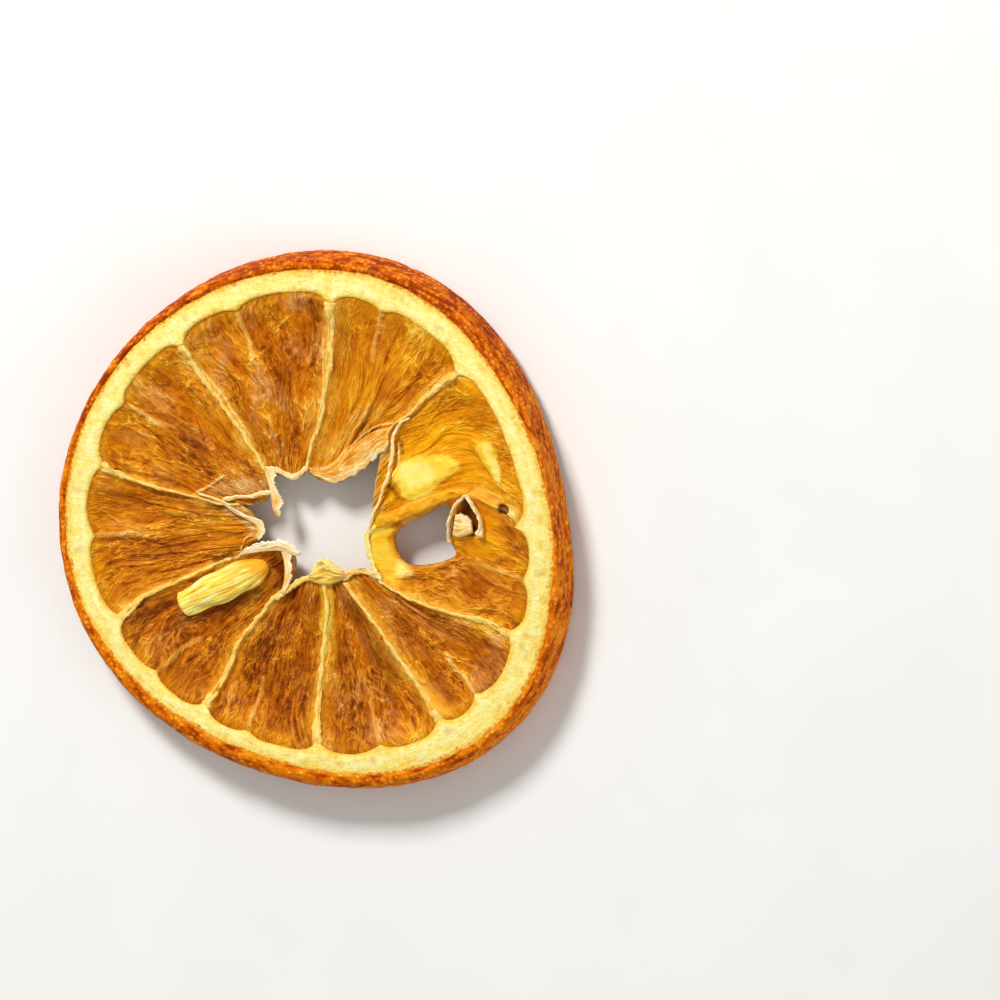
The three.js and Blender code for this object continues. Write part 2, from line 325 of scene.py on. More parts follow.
@dataclass(frozen=True)
class SlicePlan:
    """The slice's driving sizes in millimetres, before it warps."""

    height: float = 4.5
    pith_inner: float = 23.2
    pith_outer: float = 25.5
    peel_width: float = 1.0
    peel_swell: float = 0.3
    peel_swell_at: float = 300.0
    shoulder: Place = (0.4, 58, 40)
    pith_shifts: tuple[Point, ...] = (
        (0, 0.8), (20, 0.75), (38, 0.3), (72, 0.25), (92, -0.1), (180, 0.0), (214, -0.35), (240, -0.55),
        (258, -0.5), (275, -0.2), (290, 0.0), (306, 0.25), (324, 0.45), (344, 0.25), (352, 0.55),
        (360, 0.8),
    )
    lobes: tuple[Place, ...] = ((2, 0.38, -55), (3, 0.8, -47), (4, 0.17, 43))
    inner_share_of_lobes: float = 0.7
    wall_cusp: float = 1.5
    notch_cusp: float = 0.8
    cusp_spread: float = 0.8
    top_at_pith: float = 3.45
    top_at_core: float = 2.95
    under_at_pith: float = 1.3
    under_at_core: float = 1.75
    core_radius: float = 6.5
    bank_height: float = 0.72
    bank_reach: float = 1.7
    skin_knee: float = 1.85
    skin_give: float = 0.2
    wave_height: float = 0.8
    wave_flat: float = 0.14
    wave_at: float = 20.0
    shift: Point = (0.387, -0.102)
    walls: tuple[Wall, ...] = (
        Wall(1.5, None, (6.2, 3.4), 0.4, 0.9,
             ((5.5, -0.8), (6.9, 0.3), (8.9, 1.4), (11.5, 2.6), (13.5, 3.2), (15.6, 3.6), (18.1, 2.7),
              (20.6, 1.5))),
        Wall(45.4, 70, (2.2, 4.0), -0.8, 0.6,
             ((7.0, 7.3), (8.3, 10.0), (10.3, 11.4), (12.0, 13.1), (13.7, 14.4))),
        Wall(83.6, 108.6, (-2.6, 4.4), 0.2, 1.0,
             ((-0.8, 5.2), (-0.2, 7.6), (0.8, 10.3), (2.0, 15.4), (2.3, 18.5))),
        Wall(125.6, 148.2, (-5.1, 2.2), -0.3, 1.0,
             ((-4.9, 5.2), (-5.8, 6.8), (-7.7, 9.8), (-9.8, 12.8), (-11.9, 15.9))),
        Wall(165.4, 184, (-5.7, -0.8), 0.3, 0.6,
             ((-7.7, 1.8), (-10.0, 1.9), (-12.5, 2.45), (-16.4, 3.4), (-20.0, 4.6))),
        Wall(206.2, 222.4, (-2.6, -3.0), 0.5, 0.7,
             ((-7.0, -2.4), (-8.0, -3.4), (-10.2, -4.25), (-15.1, -6.4), (-18.4, -8.0))),
        Wall(237.9, 251, (-1.4, -5.6), 0.0, 0.95,
             ((-3.1, -6.5), (-4.9, -8.0), (-6.2, -9.8), (-7.9, -11.7), (-8.8, -13.6), (-9.7, -15.7))),
        Wall(270.4, 286.6, (1.8, -5.1), 0.3, 1.0,
             ((0.6, -4.6), (1.0, -7.6), (0.9, -10.6), (0.5, -13.7), (0.25, -16.6), (0.0, -19.7))),
        Wall(303.4, 315, (4.4, -4.5), 0.1, 0.95,
             ((2.8, -5.8), (4.3, -7.7), (6.4, -10.3), (8.5, -13.3), (10.2, -15.6))),
        Wall(333, 347.6, (5.6, -3.0), 0.4, 0.7,
             ((6.5, -5.5), (8.4, -6.6), (10.9, -7.7), (14.3, -8.6), (17.4, -9.2))),
    )
    pip_hole: tuple[Point, ...] = (
        (8.2, -1.1), (9.4, 0.2), (11.4, 1.1), (12.7, 1.9), (13.9, 2.0), (14.1, 0.5),
        (13.9, -1.4), (14.4, -2.7), (13.4, -3.4), (11.5, -3.9), (9.4, -3.9), (8.4, -2.7),
    )

    def lobing(self, degrees: Array) -> Array:
        """Returns how far the slice's outline stands out of its circle."""
        return sum(rise * np.cos(np.radians(n * (degrees - at))) for n, rise, at in self.lobes)

    def inner(self, degrees: Array) -> Array:
        """Measures the pith's inner edge, with a cusp at each wall and notch.

        Args:
            degrees: Directions from the middle.

        Returns:
            The radius of the edge in each direction.
        """
        radius = self.pith_inner + self.inner_share_of_lobes * self.lobing(degrees)
        for wall in self.walls:
            cusps = [(wall.angle, self.wall_cusp)]
            if wall.notch is not None:
                cusps.append((wall.notch, self.notch_cusp))
            for at, depth in cusps:
                arc = np.radians(np.abs(turn_from(at, degrees))) * self.pith_inner
                radius = radius - depth * np.exp(-arc / self.cusp_spread)
        return radius

    def pith_shift(self, degrees: Array) -> Array:
        """Returns how far the pith reaches further out than its plain outline."""
        at, shift = smooth_path(self.pith_shifts, 400).T
        return np.interp(degrees % 360, at, shift)

    def outer(self, degrees: Array) -> Array:
        """Returns the radius at which the pith meets the peel."""
        return self.pith_outer + self.lobing(degrees) + self.pith_shift(degrees)

    def peel(self, degrees: Array) -> Array:
        """Returns the peel's width, which swells towards two sides."""
        rise, at, reach = self.shoulder
        swell = self.peel_swell * np.cos(np.radians(degrees - self.peel_swell_at))
        shoulder = rise * bell(turn_from(at, degrees), reach)
        return self.peel_width + swell + shoulder - self.pith_shift(degrees)

    def wall_end(self, angle: float, tuck: float) -> Point:
        """Returns where a wall ends, tucked so far into the pith."""
        reach = float(self.inner(np.array(angle))) + tuck
        heading = math.radians(angle)
        return (reach * math.cos(heading), reach * math.sin(heading))

    def wave(self, x: Array, y: Array) -> Array:
        """Measures how the dried slice lifts off what it lies on.

        Args:
            x: Places to the right of the middle.
            y: Places up from the middle.

        Returns:
            The lift at each place, nought along three resting stretches.
        """
        turn = np.arctan2(y, x) - math.radians(self.wave_at)
        lift = self.wave_height * (1 + np.cos(3 * turn)) / 2 - self.wave_flat
        return np.maximum(0, lift) * np.minimum(1, np.hypot(x, y) / self.pith_inner) ** 2

    def bed(self, x: Array, y: Array, side: Side) -> Array:
        """Measures the pulp's smooth surface, which banks up against the pith.

        Args:
            x: Places to the right of the middle.
            y: Places up from the middle.
            side: Which cut face.

        Returns:
            The height of that face before the slice warps.
        """
        radius = np.hypot(x, y)
        share = np.clip((radius - self.core_radius) / (self.pith_inner - self.core_radius), 0, 1)
        gap = np.maximum(0, self.inner(np.degrees(np.arctan2(y, x))) - radius)
        bank = self.bank_height * bell(gap, self.bank_reach)
        if side is Side.TOP:
            return lerp(self.top_at_core, self.top_at_pith, share) + bank
        return lerp(self.under_at_core, self.under_at_pith, share) - bank

    def below_skin(self, height: Array) -> Array:
        """Presses heights that would stand out of the cut faces gently back between them."""
        off = height - self.height / 2
        excess = np.maximum(0, np.abs(off) - self.skin_knee)
        give = self.skin_give * (1 - np.exp(-excess / self.skin_give))
        return self.height / 2 + np.sign(off) * (np.minimum(np.abs(off), self.skin_knee) + give)

    def settle(self, points: Array) -> Array:
        """Warps finished points in millimetres and puts them in their place in metres."""
        x, y, z = points.T
        moved = (x + self.shift[0], y + self.shift[1], z + self.wave(x, y))
        return np.column_stack(moved) * MM


PLAN = SlicePlan()
PIP_HOLE = smooth_path(PLAN.pip_hole, 241, closed=True)[:-1]
PIP_SHAPE = (
    (8.2, 4.6), (8.9, 6.1), (10.5, 7.0), (12.4, 7.3), (14.2, 7.3), (15.3, 6.5), (15.0, 5.7), (13.5, 4.7),
    (12.3, 3.6), (10.5, 2.7), (9.4, 2.9), (9.0, 3.8),
)
THIN_PIP_SHAPE = (
    (17.1, 8.1), (18.2, 8.9), (19.3, 8.1), (19.6, 6.6), (19.7, 4.7), (18.9, 5.4), (17.9, 6.7),
)


# Modelling with Blender's operators

def deselect() -> None:
    """Clears the selection, so that an operator acts on the new piece alone."""
    bpy.ops.object.select_all(action="DESELECT")


def select(*pieces: bpy.types.Object) -> None:
    """Selects these pieces alone and makes the first one active."""
    deselect()
    for piece in pieces:
        piece.select_set(True)
    bpy.context.view_layer.objects.active = pieces[0]


def name_new(name: str) -> bpy.types.Object:
    """Names the piece that an operator has just added, and returns it."""
    piece = bpy.context.active_object
    piece.name = name
    piece.data.name = name
    return piece


def grid_piece(name: str, columns: int, rows: int) -> tuple[bpy.types.Object, Array, Array]:
    """Adds a flat grid to be shaped.

    Args:
        name: The piece's name.
        columns: Faces across.
        rows: Faces along.

    Returns:
        The piece, and each vertex's share across and along it.
    """
    deselect()
    bpy.ops.mesh.primitive_grid_add(x_subdivisions=columns, y_subdivisions=rows, size=1)
    piece = name_new(name)
    points = read_points(piece)
    low = points.min(axis=0)
    span = points.max(axis=0) - low
    return piece, (points[:, 0] - low[0]) / span[0], (points[:, 1] - low[1]) / span[1]


@dataclass
class Ring:
    """A ring shaped to its section, with what is known of each vertex."""

    piece: bpy.types.Object
    degrees: Array
    shares: Array
    points: Array
    grain: Array


def shape_ring(name: str, columns: int, rows: int, section: tuple[Place, ...],
               uneven: float = 0.0) -> Ring:
    """Shapes a ring that follows the outline of the pith and the peel.

    Args:
        name: The piece's name.
        columns: Faces round the ring.
        rows: Faces round its section.
        section: The section's corners, as shares of the pith's width, the peel's width and the height.
        uneven: How far the inner edge strays, in millimetres.

    Returns:
        The ring. Its grain lays its skin out flat, mirrored so that a pattern on it has no seam.
    """
    middle = 20.0
    deselect()
    bpy.ops.mesh.primitive_torus_add(
        major_segments=columns, minor_segments=rows, major_radius=middle, minor_radius=1
    )
    piece = name_new(name)
    x, y, z = read_points(piece).T
    turn = np.arctan2(y, x) / math.tau % 1
    roll = np.arctan2(z, np.hypot(x, y) - middle) / math.tau % 1
    degrees = turn * 360
    outwards = rays(degrees)
    shares = along_path(smooth_path(section, rows + 1, closed=True), roll)
    inner = PLAN.inner(degrees) + uneven * soft_noise(outwards * 9, 21)
    radius = lerp(inner, PLAN.outer(degrees), shares[:, 0]) + PLAN.peel(degrees) * shares[:, 1]
    height = shares[:, 2] * PLAN.height
    points = np.column_stack([outwards * radius[:, None], height])
    write_points(piece, points)
    weld([piece])
    along = np.abs(turn - 0.5) * math.tau * PLAN.pith_outer
    return Ring(piece, degrees, shares, points, np.column_stack([along, radius, height]))


def read_points(piece: bpy.types.Object) -> Array:
    """Returns a piece's vertices, one row each."""
    points = np.empty(len(piece.data.vertices) * 3)
    piece.data.vertices.foreach_get("co", points)
    return points.reshape(-1, 3)


def write_points(piece: bpy.types.Object, points: Array) -> None:
    """Moves a piece's vertices to new places."""
    piece.data.vertices.foreach_set("co", np.ascontiguousarray(points, dtype=np.float32).ravel())
    piece.data.update()


def paint(piece: bpy.types.Object, name: str, values: Array) -> None:
    """Stores a number or a vector for each vertex, for the finishes to read.

    Args:
        piece: The piece to paint.
        name: What the finishes call it.
        values: One number or three for each vertex.
    """
    flat = values.ndim == 1
    layer = piece.data.attributes.new(name, "FLOAT" if flat else "FLOAT_VECTOR", "POINT")
    layer.data.foreach_set("value" if flat else "vector", values.astype(np.float32).ravel())


def delete_faces(piece: bpy.types.Object, chosen: Array) -> None:
    """Deletes the chosen faces and the vertices that only they used."""
    select(piece)
    mesh = piece.data
    mesh.vertices.foreach_set("select", np.zeros(len(mesh.vertices), dtype=bool))
    mesh.edges.foreach_set("select", np.zeros(len(mesh.edges), dtype=bool))
    mesh.polygons.foreach_set("select", chosen)
    bpy.ops.object.mode_set(mode="EDIT")
    bpy.ops.mesh.select_mode(type="FACE")
    bpy.ops.mesh.delete(type="FACE")
    bpy.ops.mesh.select_mode(type="VERT")
    bpy.ops.object.mode_set(mode="OBJECT")


def weld(pieces: Sequence[bpy.types.Object], gap: float = 0.0006) -> bpy.types.Object:
    """Joins shells along the edges that they share, and turns their faces outwards.

    Args:
        pieces: The shells, the first of which keeps its name.
        gap: The widest gap that is closed, in millimetres.

    Returns:
        The closed piece.
    """
    select(*pieces)
    if len(pieces) > 1:
        bpy.ops.object.join()
    bpy.ops.object.mode_set(mode="EDIT")
    bpy.ops.mesh.select_all(action="SELECT")
    bpy.ops.mesh.remove_doubles(threshold=gap)
    bpy.ops.mesh.normals_make_consistent(inside=False)
    bpy.ops.object.mode_set(mode="OBJECT")
    return pieces[0]


def push_out(piece: bpy.types.Object, heights: Array) -> None:
    """Moves each vertex along its normal by its own height."""
    normals = np.empty(len(piece.data.vertices) * 3, dtype=np.float32)
    piece.data.vertex_normals.foreach_get("vector", normals)
    write_points(piece, read_points(piece) + normals.reshape(-1, 3) * heights[:, None])


def hand_over(piece: bpy.types.Object, slot: Slot, finish: bpy.types.Material) -> bpy.types.Object:
    """Puts a shaped piece in its place on the slice and dresses it.

    Args:
        piece: The piece, shaped in millimetres on the flat slice.
        slot: The material slot that the log names for it.
        finish: Its material.

    Returns:
        The finished piece.
    """
    write_points(piece, PLAN.settle(read_points(piece)))
    piece.data.materials.clear()
    piece.data.materials.append(finish)
    select(piece)
    bpy.ops.object.shade_smooth()
    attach(piece, BODY)
    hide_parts(NODE)
    LOG.info("%s: %d faces, slot %s", piece.name, len(piece.data.polygons), slot.value)
    return piece


# Shader building

def screen(red: int, green: int, blue: int) -> tuple[float, float, float, float]:
    """Returns the linear colour of a tone given by its screen values."""
    parts = [value / 255 for value in (red, green, blue)]
    linear = [part / 12.92 if part <= 0.04045 else ((part + 0.055) / 1.055) ** 2.4 for part in parts]
    return (*linear, 1.0)


class Value:
    """A shader's output socket, whose arithmetic adds Math nodes."""

    def __init__(self, shader: "Shader", socket: bpy.types.NodeSocket) -> None:
        """Keeps the socket and the shader that it belongs to."""
        self.shader = shader
        self.socket = socket

    def _math(self, operation: str, first: "Term", second: "Term") -> "Value":
        """Adds one Math node and returns its result."""
        node = self.shader.node("ShaderNodeMath", {"operation": operation}, {0: first, 1: second})
        return Value(self.shader, node.outputs[0])

    def __add__(self, other: "Term") -> "Value":
        """Returns the sum."""
        return self._math("ADD", self, other)

    def __radd__(self, other: "Term") -> "Value":
        """Returns the sum."""
        return self._math("ADD", other, self)

    def __sub__(self, other: "Term") -> "Value":
        """Returns the difference."""
        return self._math("SUBTRACT", self, other)

    def __rsub__(self, other: "Term") -> "Value":
        """Returns the difference, the other way round."""
        return self._math("SUBTRACT", other, self)

    def __mul__(self, other: "Term") -> "Value":
        """Returns the product."""
        return self._math("MULTIPLY", self, other)

    def __rmul__(self, other: "Term") -> "Value":
        """Returns the product."""
        return self._math("MULTIPLY", other, self)


Term = Union[float, tuple, Value]


class Shader:
    """A material under construction, on one Principled shader."""

    def __init__(self, name: str) -> None:
        """Starts an empty material of that name."""
        self.material = bpy.data.materials.new(name)
        self.material.use_nodes = True
        self.tree = self.material.node_tree
        self.tree.nodes.clear()
        self.surface = self.node("ShaderNodeBsdfPrincipled", {}, {})
        self.node("ShaderNodeOutputMaterial", {}, {"Surface": Value(self, self.surface.outputs[0])})

    def node(self, kind: str, settings: dict, inputs: dict) -> bpy.types.Node:
        """Adds any node.

        Args:
            kind: The node's type.
            settings: Its settings, with a ramp's tones as "tones".
            inputs: Values or links for its sockets, by name or number.

        Returns:
            The new node.
        """
        made = self.tree.nodes.new(kind)
        for name, setting in settings.items():
            if name == "tones":
                self._set_tones(made.color_ramp, setting)
            else:
                setattr(made, name, setting)
        self._connect(made, inputs)
        return made

    def _connect(self, node: bpy.types.Node, inputs: dict) -> None:
        """Links or sets the sockets of a node."""
        for key, term in inputs.items():
            if isinstance(term, Value):
                self.tree.links.new(term.socket, node.inputs[key])
            else:
                node.inputs[key].default_value = term

    @staticmethod
    def _set_tones(ramp: bpy.types.ColorRamp, tones: Tones) -> None:
        """Gives a colour ramp its tones, each with its position."""
        while len(ramp.elements) < len(tones):
            ramp.elements.new(1.0)
        for element, (position, *tone) in zip(ramp.elements, tones):
            element.position = position
            element.color = screen(*tone)

    def painted(self, name: str) -> Value:
        """Reads a number that was painted on the piece."""
        node = self.node("ShaderNodeAttribute", {"attribute_name": name}, {})
        return Value(self, node.outputs["Fac"])

    def painted_vector(self, name: str, scale: Place) -> Value:
        """Reads a vector that was painted on the piece, and scales it."""
        node = self.node("ShaderNodeAttribute", {"attribute_name": name}, {})
        return self.scaled(Value(self, node.outputs["Vector"]), scale)

    def place(self, size: float) -> Value:
        """Reads the place on the object, in units of so many millimetres."""
        node = self.node("ShaderNodeTexCoord", {}, {})
        scale = 1 / (size * MM)
        return self.scaled(Value(self, node.outputs["Object"]), (scale, scale, scale))

    def scaled(self, vector: Value, scale: Place) -> Value:
        """Multiplies a vector part by part."""
        node = self.node("ShaderNodeVectorMath", {"operation": "MULTIPLY"}, {0: vector, 1: scale})
        return Value(self, node.outputs[0])

    def noise(self, vector: Value, detail: float = 2.0, roughness: float = 0.55) -> Value:
        """Returns cloudy noise from 0 to 1 with features about one unit wide."""
        inputs = {"Vector": vector, "Scale": 1.0, "Detail": detail, "Roughness": roughness}
        return Value(self, self.node("ShaderNodeTexNoise", {}, inputs).outputs[0])

    def cloud(self, size: float, detail: float, roughness: float = 0.55) -> Value:
        """Returns cloudy noise with features about so many millimetres wide."""
        return self.noise(self.place(size), detail, roughness)

    def streaks(self, name: str, scale: Place, detail: float, roughness: float = 0.55) -> Value:
        """Returns cloudy noise that follows a vector painted on the piece."""
        return self.noise(self.painted_vector(name, scale), detail, roughness)

    def cells(self, vector: Value, feature: str, output: str, flat: bool = False) -> Value:
        """Reads a pattern of cells about one unit wide.

        Args:
            vector: The place in the pattern.
            feature: What is measured, by the node's own name.
            output: Which of the node's results to return.
            flat: Whether the pattern is flat rather than solid.

        Returns:
            The chosen result.
        """
        settings = {"feature": feature, "voronoi_dimensions": "2D" if flat else "3D"}
        node = self.node("ShaderNodeTexVoronoi", settings, {"Vector": vector, "Scale": 1.0})
        return Value(self, node.outputs[output])

    def ramp(self, value: Value, tones: Tones) -> Value:
        """Turns a value into a colour."""
        node = self.node("ShaderNodeValToRGB", {"tones": tones}, {0: value})
        return Value(self, node.outputs[0])

    def step(self, value: Value, low: float, high: float) -> Value:
        """Returns 0 below low and 1 above high, with a smooth rise between."""
        settings = {"interpolation_type": "SMOOTHSTEP"}
        node = self.node("ShaderNodeMapRange", settings, {0: value, 1: low, 2: high})
        return Value(self, node.outputs[0])

    def size(self, value: Value) -> Value:
        """Returns the value without its sign."""
        return Value(self, self.node("ShaderNodeMath", {"operation": "ABSOLUTE"}, {0: value}).outputs[0])

    def clamp(self, value: Value) -> Value:
        """Keeps a value between 0 and 1."""
        return Value(self, self.node("ShaderNodeClamp", {}, {0: value}).outputs[0])

    def mix(self, factor: Term, first: Term, second: Term) -> Value:
        """Blends two colours.

        Args:
            factor: The share of the second colour.
            first: The first colour.
            second: The second colour.

        Returns:
            The blended colour.
        """
        settings = {"data_type": "RGBA", "clamp_factor": True}
        node = self.node("ShaderNodeMix", settings, {0: factor, 6: first, 7: second})
        return Value(self, node.outputs[2])

    def tint(self, share: Term, colour: Value, tone: Tone) -> Value:
        """Blends a share of one tone into a colour."""
        return self.mix(share, colour, screen(*tone))

    def coat(self, colour: Value, kind: str, tones: Tones, level: Value) -> Value:
        """Lays a colour over another where the piece is painted so.

        Args:
            colour: The colour below.
            kind: The name of the paint that says where.
            tones: The tones of the coat.
            level: Which of them each place takes.

        Returns:
            The colour with its coat.
        """
        return self.mix(self.painted(kind), colour, self.ramp(level, tones))

    def dress(self, colour: Value, roughness: Term, relief: Optional[Value], depth: float,
              constants: dict) -> bpy.types.Material:
        """Connects the surface.

        Args:
            colour: The base colour.
            roughness: The roughness, a number or a value.
            relief: The height of the finest relief from 0 to 1, where there is one.
            depth: How deep that relief is, in millimetres.
            constants: The shader's other values, by socket.

        Returns:
            The finished material.
        """
        inputs = {"Base Color": colour, "Roughness": roughness, **constants}
        if relief is not None:
            heights = {"Height": relief, "Distance": depth * MM, "Strength": 1.0}
            bump = self.node("ShaderNodeBump", {}, heights)
            inputs["Normal"] = Value(self, bump.outputs[0])
        self._connect(self.surface, inputs)
        return self.material


# Finishes

@dataclass(frozen=True)
class Flesh:
    """How light passes a little way into a surface and glances off it."""

    depth: float = 0.5
    weight: float = 0.2
    tint: Place = (1.0, 0.4, 0.1)
    gloss: float = 0.2
    glint: Place = (1.0, 0.7, 0.35)

    def constants(self) -> dict:
        """Returns the values of the Principled shader's sockets."""
        return {
            "Subsurface Weight": self.weight,
            "Subsurface Radius": self.tint,
            "Subsurface Scale": self.depth * MM,
            "Specular IOR Level": self.gloss,
            "Specular Tint": (*self.glint, 1.0),
        }


@dataclass(frozen=True)
class PulpFinish:
    """Shrunken juice sacs, amber brown with paler crests and dried skins."""

    grain_size: float = 0.1
    mottle_size: float = 0.75
    flesh: Flesh = Flesh(0.5, 0.15, (1.0, 0.38, 0.06), 0.3, (1.0, 0.66, 0.2))
    # Cream of the painted glints on the crests.
    painted_glint: Tone = (252, 212, 140)
    # Dark brown for random darker zones and for painted shade under the pith's edge, in pits and beside
    # raised parts.
    gloom: Tone = (98, 34, 1)
    amber: Tones = (
        (0.0, 98, 36, 0), (0.16, 146, 64, 1), (0.36, 192, 100, 4),
        (0.56, 216, 130, 12), (0.76, 238, 168, 40), (1.0, 253, 208, 96),
    )
    coats: tuple[tuple[str, Tones], ...] = (
        ("gold", (
            (0.0, 170, 88, 1), (0.28, 218, 136, 2), (0.55, 236, 162, 6), (0.8, 246, 186, 26),
            (1.0, 252, 208, 76))),
        # Pinkish tan patches, partly dry bloom and partly a painted sheen.
        ("dusty", ((0.0, 140, 70, 14), (0.3, 190, 112, 42), (0.6, 222, 152, 82), (1.0, 250, 206, 142))),
        ("skin", ((0.0, 188, 104, 12), (0.35, 224, 148, 30), (0.65, 242, 184, 76), (1.0, 253, 222, 140))),
        ("pale", ((0.0, 206, 138, 52), (0.4, 234, 186, 108), (1.0, 253, 236, 190))),
        ("glow", ((0.0, 236, 172, 22), (0.4, 248, 208, 62), (1.0, 254, 236, 140))),
        ("white", ((0.0, 248, 218, 92), (0.5, 253, 236, 140), (1.0, 255, 247, 196))),
    )

    def creases(self, shader: Shader, width: float, length: float, thickness: float) -> Value:
        """Draws the thin borders of narrow cells that run along the sacs.

        Args:
            shader: The material under construction.
            width: How wide the cells are, in millimetres.
            length: How long they are, in millimetres.
            thickness: How thick their borders are, as a share of a cell.

        Returns:
            A value from 0 to 1, highest on the borders.
        """
        place = shader.painted_vector("sac_grain", (1 / width, 1 / length, 1.0))
        gap = shader.cells(place, "DISTANCE_TO_EDGE", "Distance", flat=True)
        return 1.0 - shader.step(gap, 0.0, thickness)

    def threads(self, shader: Shader, width: float, length: float, sharpness: float) -> Value:
        """Draws thin winding lines that run along the sacs.

        Args:
            shader: The material under construction.
            width: How far apart the lines are, in millimetres.
            length: How long they run, in millimetres.
            sharpness: How thin they are.

        Returns:
            A value from 0 to 1, highest on the lines.
        """
        noise = shader.streaks("sac_grain", (1 / width, 1 / length, 1.0), 1.5)
        return shader.clamp(1.0 - shader.size(noise - 0.5) * sharpness)

    def material(self) -> bpy.types.Material:
        """Builds the material from what is painted on the pulp and from fine creases."""
        shader = Shader("dried_pulp")
        crest = shader.painted("crest")
        grain = shader.cloud(self.grain_size, 2.0)
        mottle = shader.cloud(self.mottle_size, 4.0, 0.65)
        broken = shader.streaks("sac_grain", (1.0, 0.6, 1.0), 2.0)
        fine = self.creases(shader, 0.8, 1.9, 0.1) * shader.step(broken, 0.4, 0.55)
        threads = self.threads(shader, 0.46, 1.9, 11.0) * shader.step(broken, 0.34, 0.58)
        hairs = self.threads(shader, 0.24, 0.6, 9.0) * shader.step(broken, 0.66, 0.44)
        veins = self.creases(shader, 1.6, 3.4, 0.05) * shader.step(broken, 0.3, 0.62)
        drawn = fine * 0.5 + threads * 0.7 + hairs * 0.18 + veins * 0.5
        drawn = shader.clamp(drawn) * shader.painted("busy")
        hollow = shader.step(shader.streaks("sac_grain", (1.5, 0.6, 1.0), 2.0), 0.5, 0.3)
        # Painted shadow: thin dark lines beside the crests, where creases would lie in shade.
        crease_shadow = self.threads(shader, 0.62, 2.3, 13.0) * shader.step(broken, 0.62, 0.42)
        crease_shadow = crease_shadow * shader.painted("busy") * (1.0 - drawn)
        level = shader.painted("tone") * 0.2 + crest * 0.45 + drawn * 0.34
        level = level + (grain - 0.5) * 0.35 + (mottle - 0.5) * 0.4 + 0.33
        level = level - hollow * 0.12 - crease_shadow * 0.3
        colour = shader.ramp(level, self.amber)
        for kind, tones in self.coats:
            colour = shader.coat(colour, kind, tones, level)
        # Painted glints: sparse cream specks on the crests, standing in for light caught by the sacs.
        painted_glints = shader.step(grain, 0.6, 0.7) * shader.step(crest + drawn * 0.5, 0.15, 0.6)
        painted_glints = painted_glints * 0.55 * (1.0 - shader.painted("smooth"))
        colour = shader.tint(painted_glints, colour, self.painted_glint)
        # Painted shade under the pith's edge, in pits and beside raised parts, plus random darker zones.
        colour = shader.tint(shader.painted("gloom"), colour, self.gloom)
        roughness = 0.5 - drawn * 0.2
        relief = drawn * 0.6 + grain * 0.15 + mottle * 0.25
        return shader.dress(colour, roughness, relief, 0.2, self.flesh.constants())


@dataclass(frozen=True)
class MembraneFinish:
    """Dried segment walls and torn skins, yellow to near white."""

    kind: Membrane
    cloud_size: float = 0.9
    grain_size: float = 0.14
    flesh: Flesh = Flesh(0.5, 0.25, (1.0, 0.55, 0.15), 0.2)

    def material(self) -> bpy.types.Material:
        """Builds the material from the painted crests and two noises."""
        shader = Shader(f"membrane_{self.kind.name.lower()}")
        cloud = shader.cloud(self.cloud_size, 3.0)
        grain = shader.cloud(self.grain_size, 2.0)
        level = shader.painted("crest") * 0.75 + (cloud - 0.5) * 0.6 + (grain - 0.5) * 0.4
        shade, middle, light = self.kind.value
        colour = shader.ramp(level, ((0.1, *shade), (0.4, *middle), (0.85, *light)))
        relief = grain * 0.6 + cloud * 0.4
        return shader.dress(colour, 0.55 - cloud * 0.1, relief, 0.1, self.flesh.constants())


@dataclass(frozen=True)
class PithFinish:
    """Smooth felt-like pith, cream with faint short strands."""

    fleck_size: float = 0.35
    grain_size: float = 0.1
    flesh: Flesh = Flesh(0.6, 0.2, (1.0, 0.7, 0.25), 0.1)
    dash: Tone = (216, 158, 54)
    outer_edge: Tone = (226, 138, 26)
    inner_edge: Tone = (236, 178, 56)
    cream: Tones = ((0.1, 236, 178, 54), (0.35, 249, 212, 98), (0.6, 254, 233, 134), (0.9, 255, 248, 180))

    def material(self) -> bpy.types.Material:
        """Builds the material from the painted share across the ring and its dashes."""
        shader = Shader("dried_pith")
        across = shader.painted("across")
        fleck = shader.cloud(self.fleck_size, 3.0)
        grain = shader.cloud(self.grain_size, 2.0)
        blots = shader.streaks("ring_grain", (0.55, 1.5, 1.0), 4.0, 0.65)
        spokes = shader.streaks("ring_grain", (2.6, 0.8, 1.0), 2.0)
        middle = shader.step(across, 0.0, 0.3) * shader.step(across, 1.05, 0.5)
        level = middle * 0.28 + (blots - 0.5) * 1.2 + (spokes - 0.5) * 0.5 + (fleck - 0.5) * 0.5
        level = level + (grain - 0.5) * 0.25 + 0.37
        colour = shader.tint(shader.painted("dash"), shader.ramp(level, self.cream), self.dash)
        ragged = (fleck - 0.5) * 0.55 + (blots - 0.5) * 0.5
        colour = shader.tint(shader.step(across + ragged, 0.84, 1.02), colour, self.outer_edge)
        inside = 1.0 - shader.step(across + ragged * 0.4, 0.0, 0.16)
        colour = shader.tint(inside * 0.6, colour, self.inner_edge)
        relief = grain * 0.2 + fleck * 0.4 + blots * 0.4
        return shader.dress(colour, 0.7, relief, 0.3, self.flesh.constants())


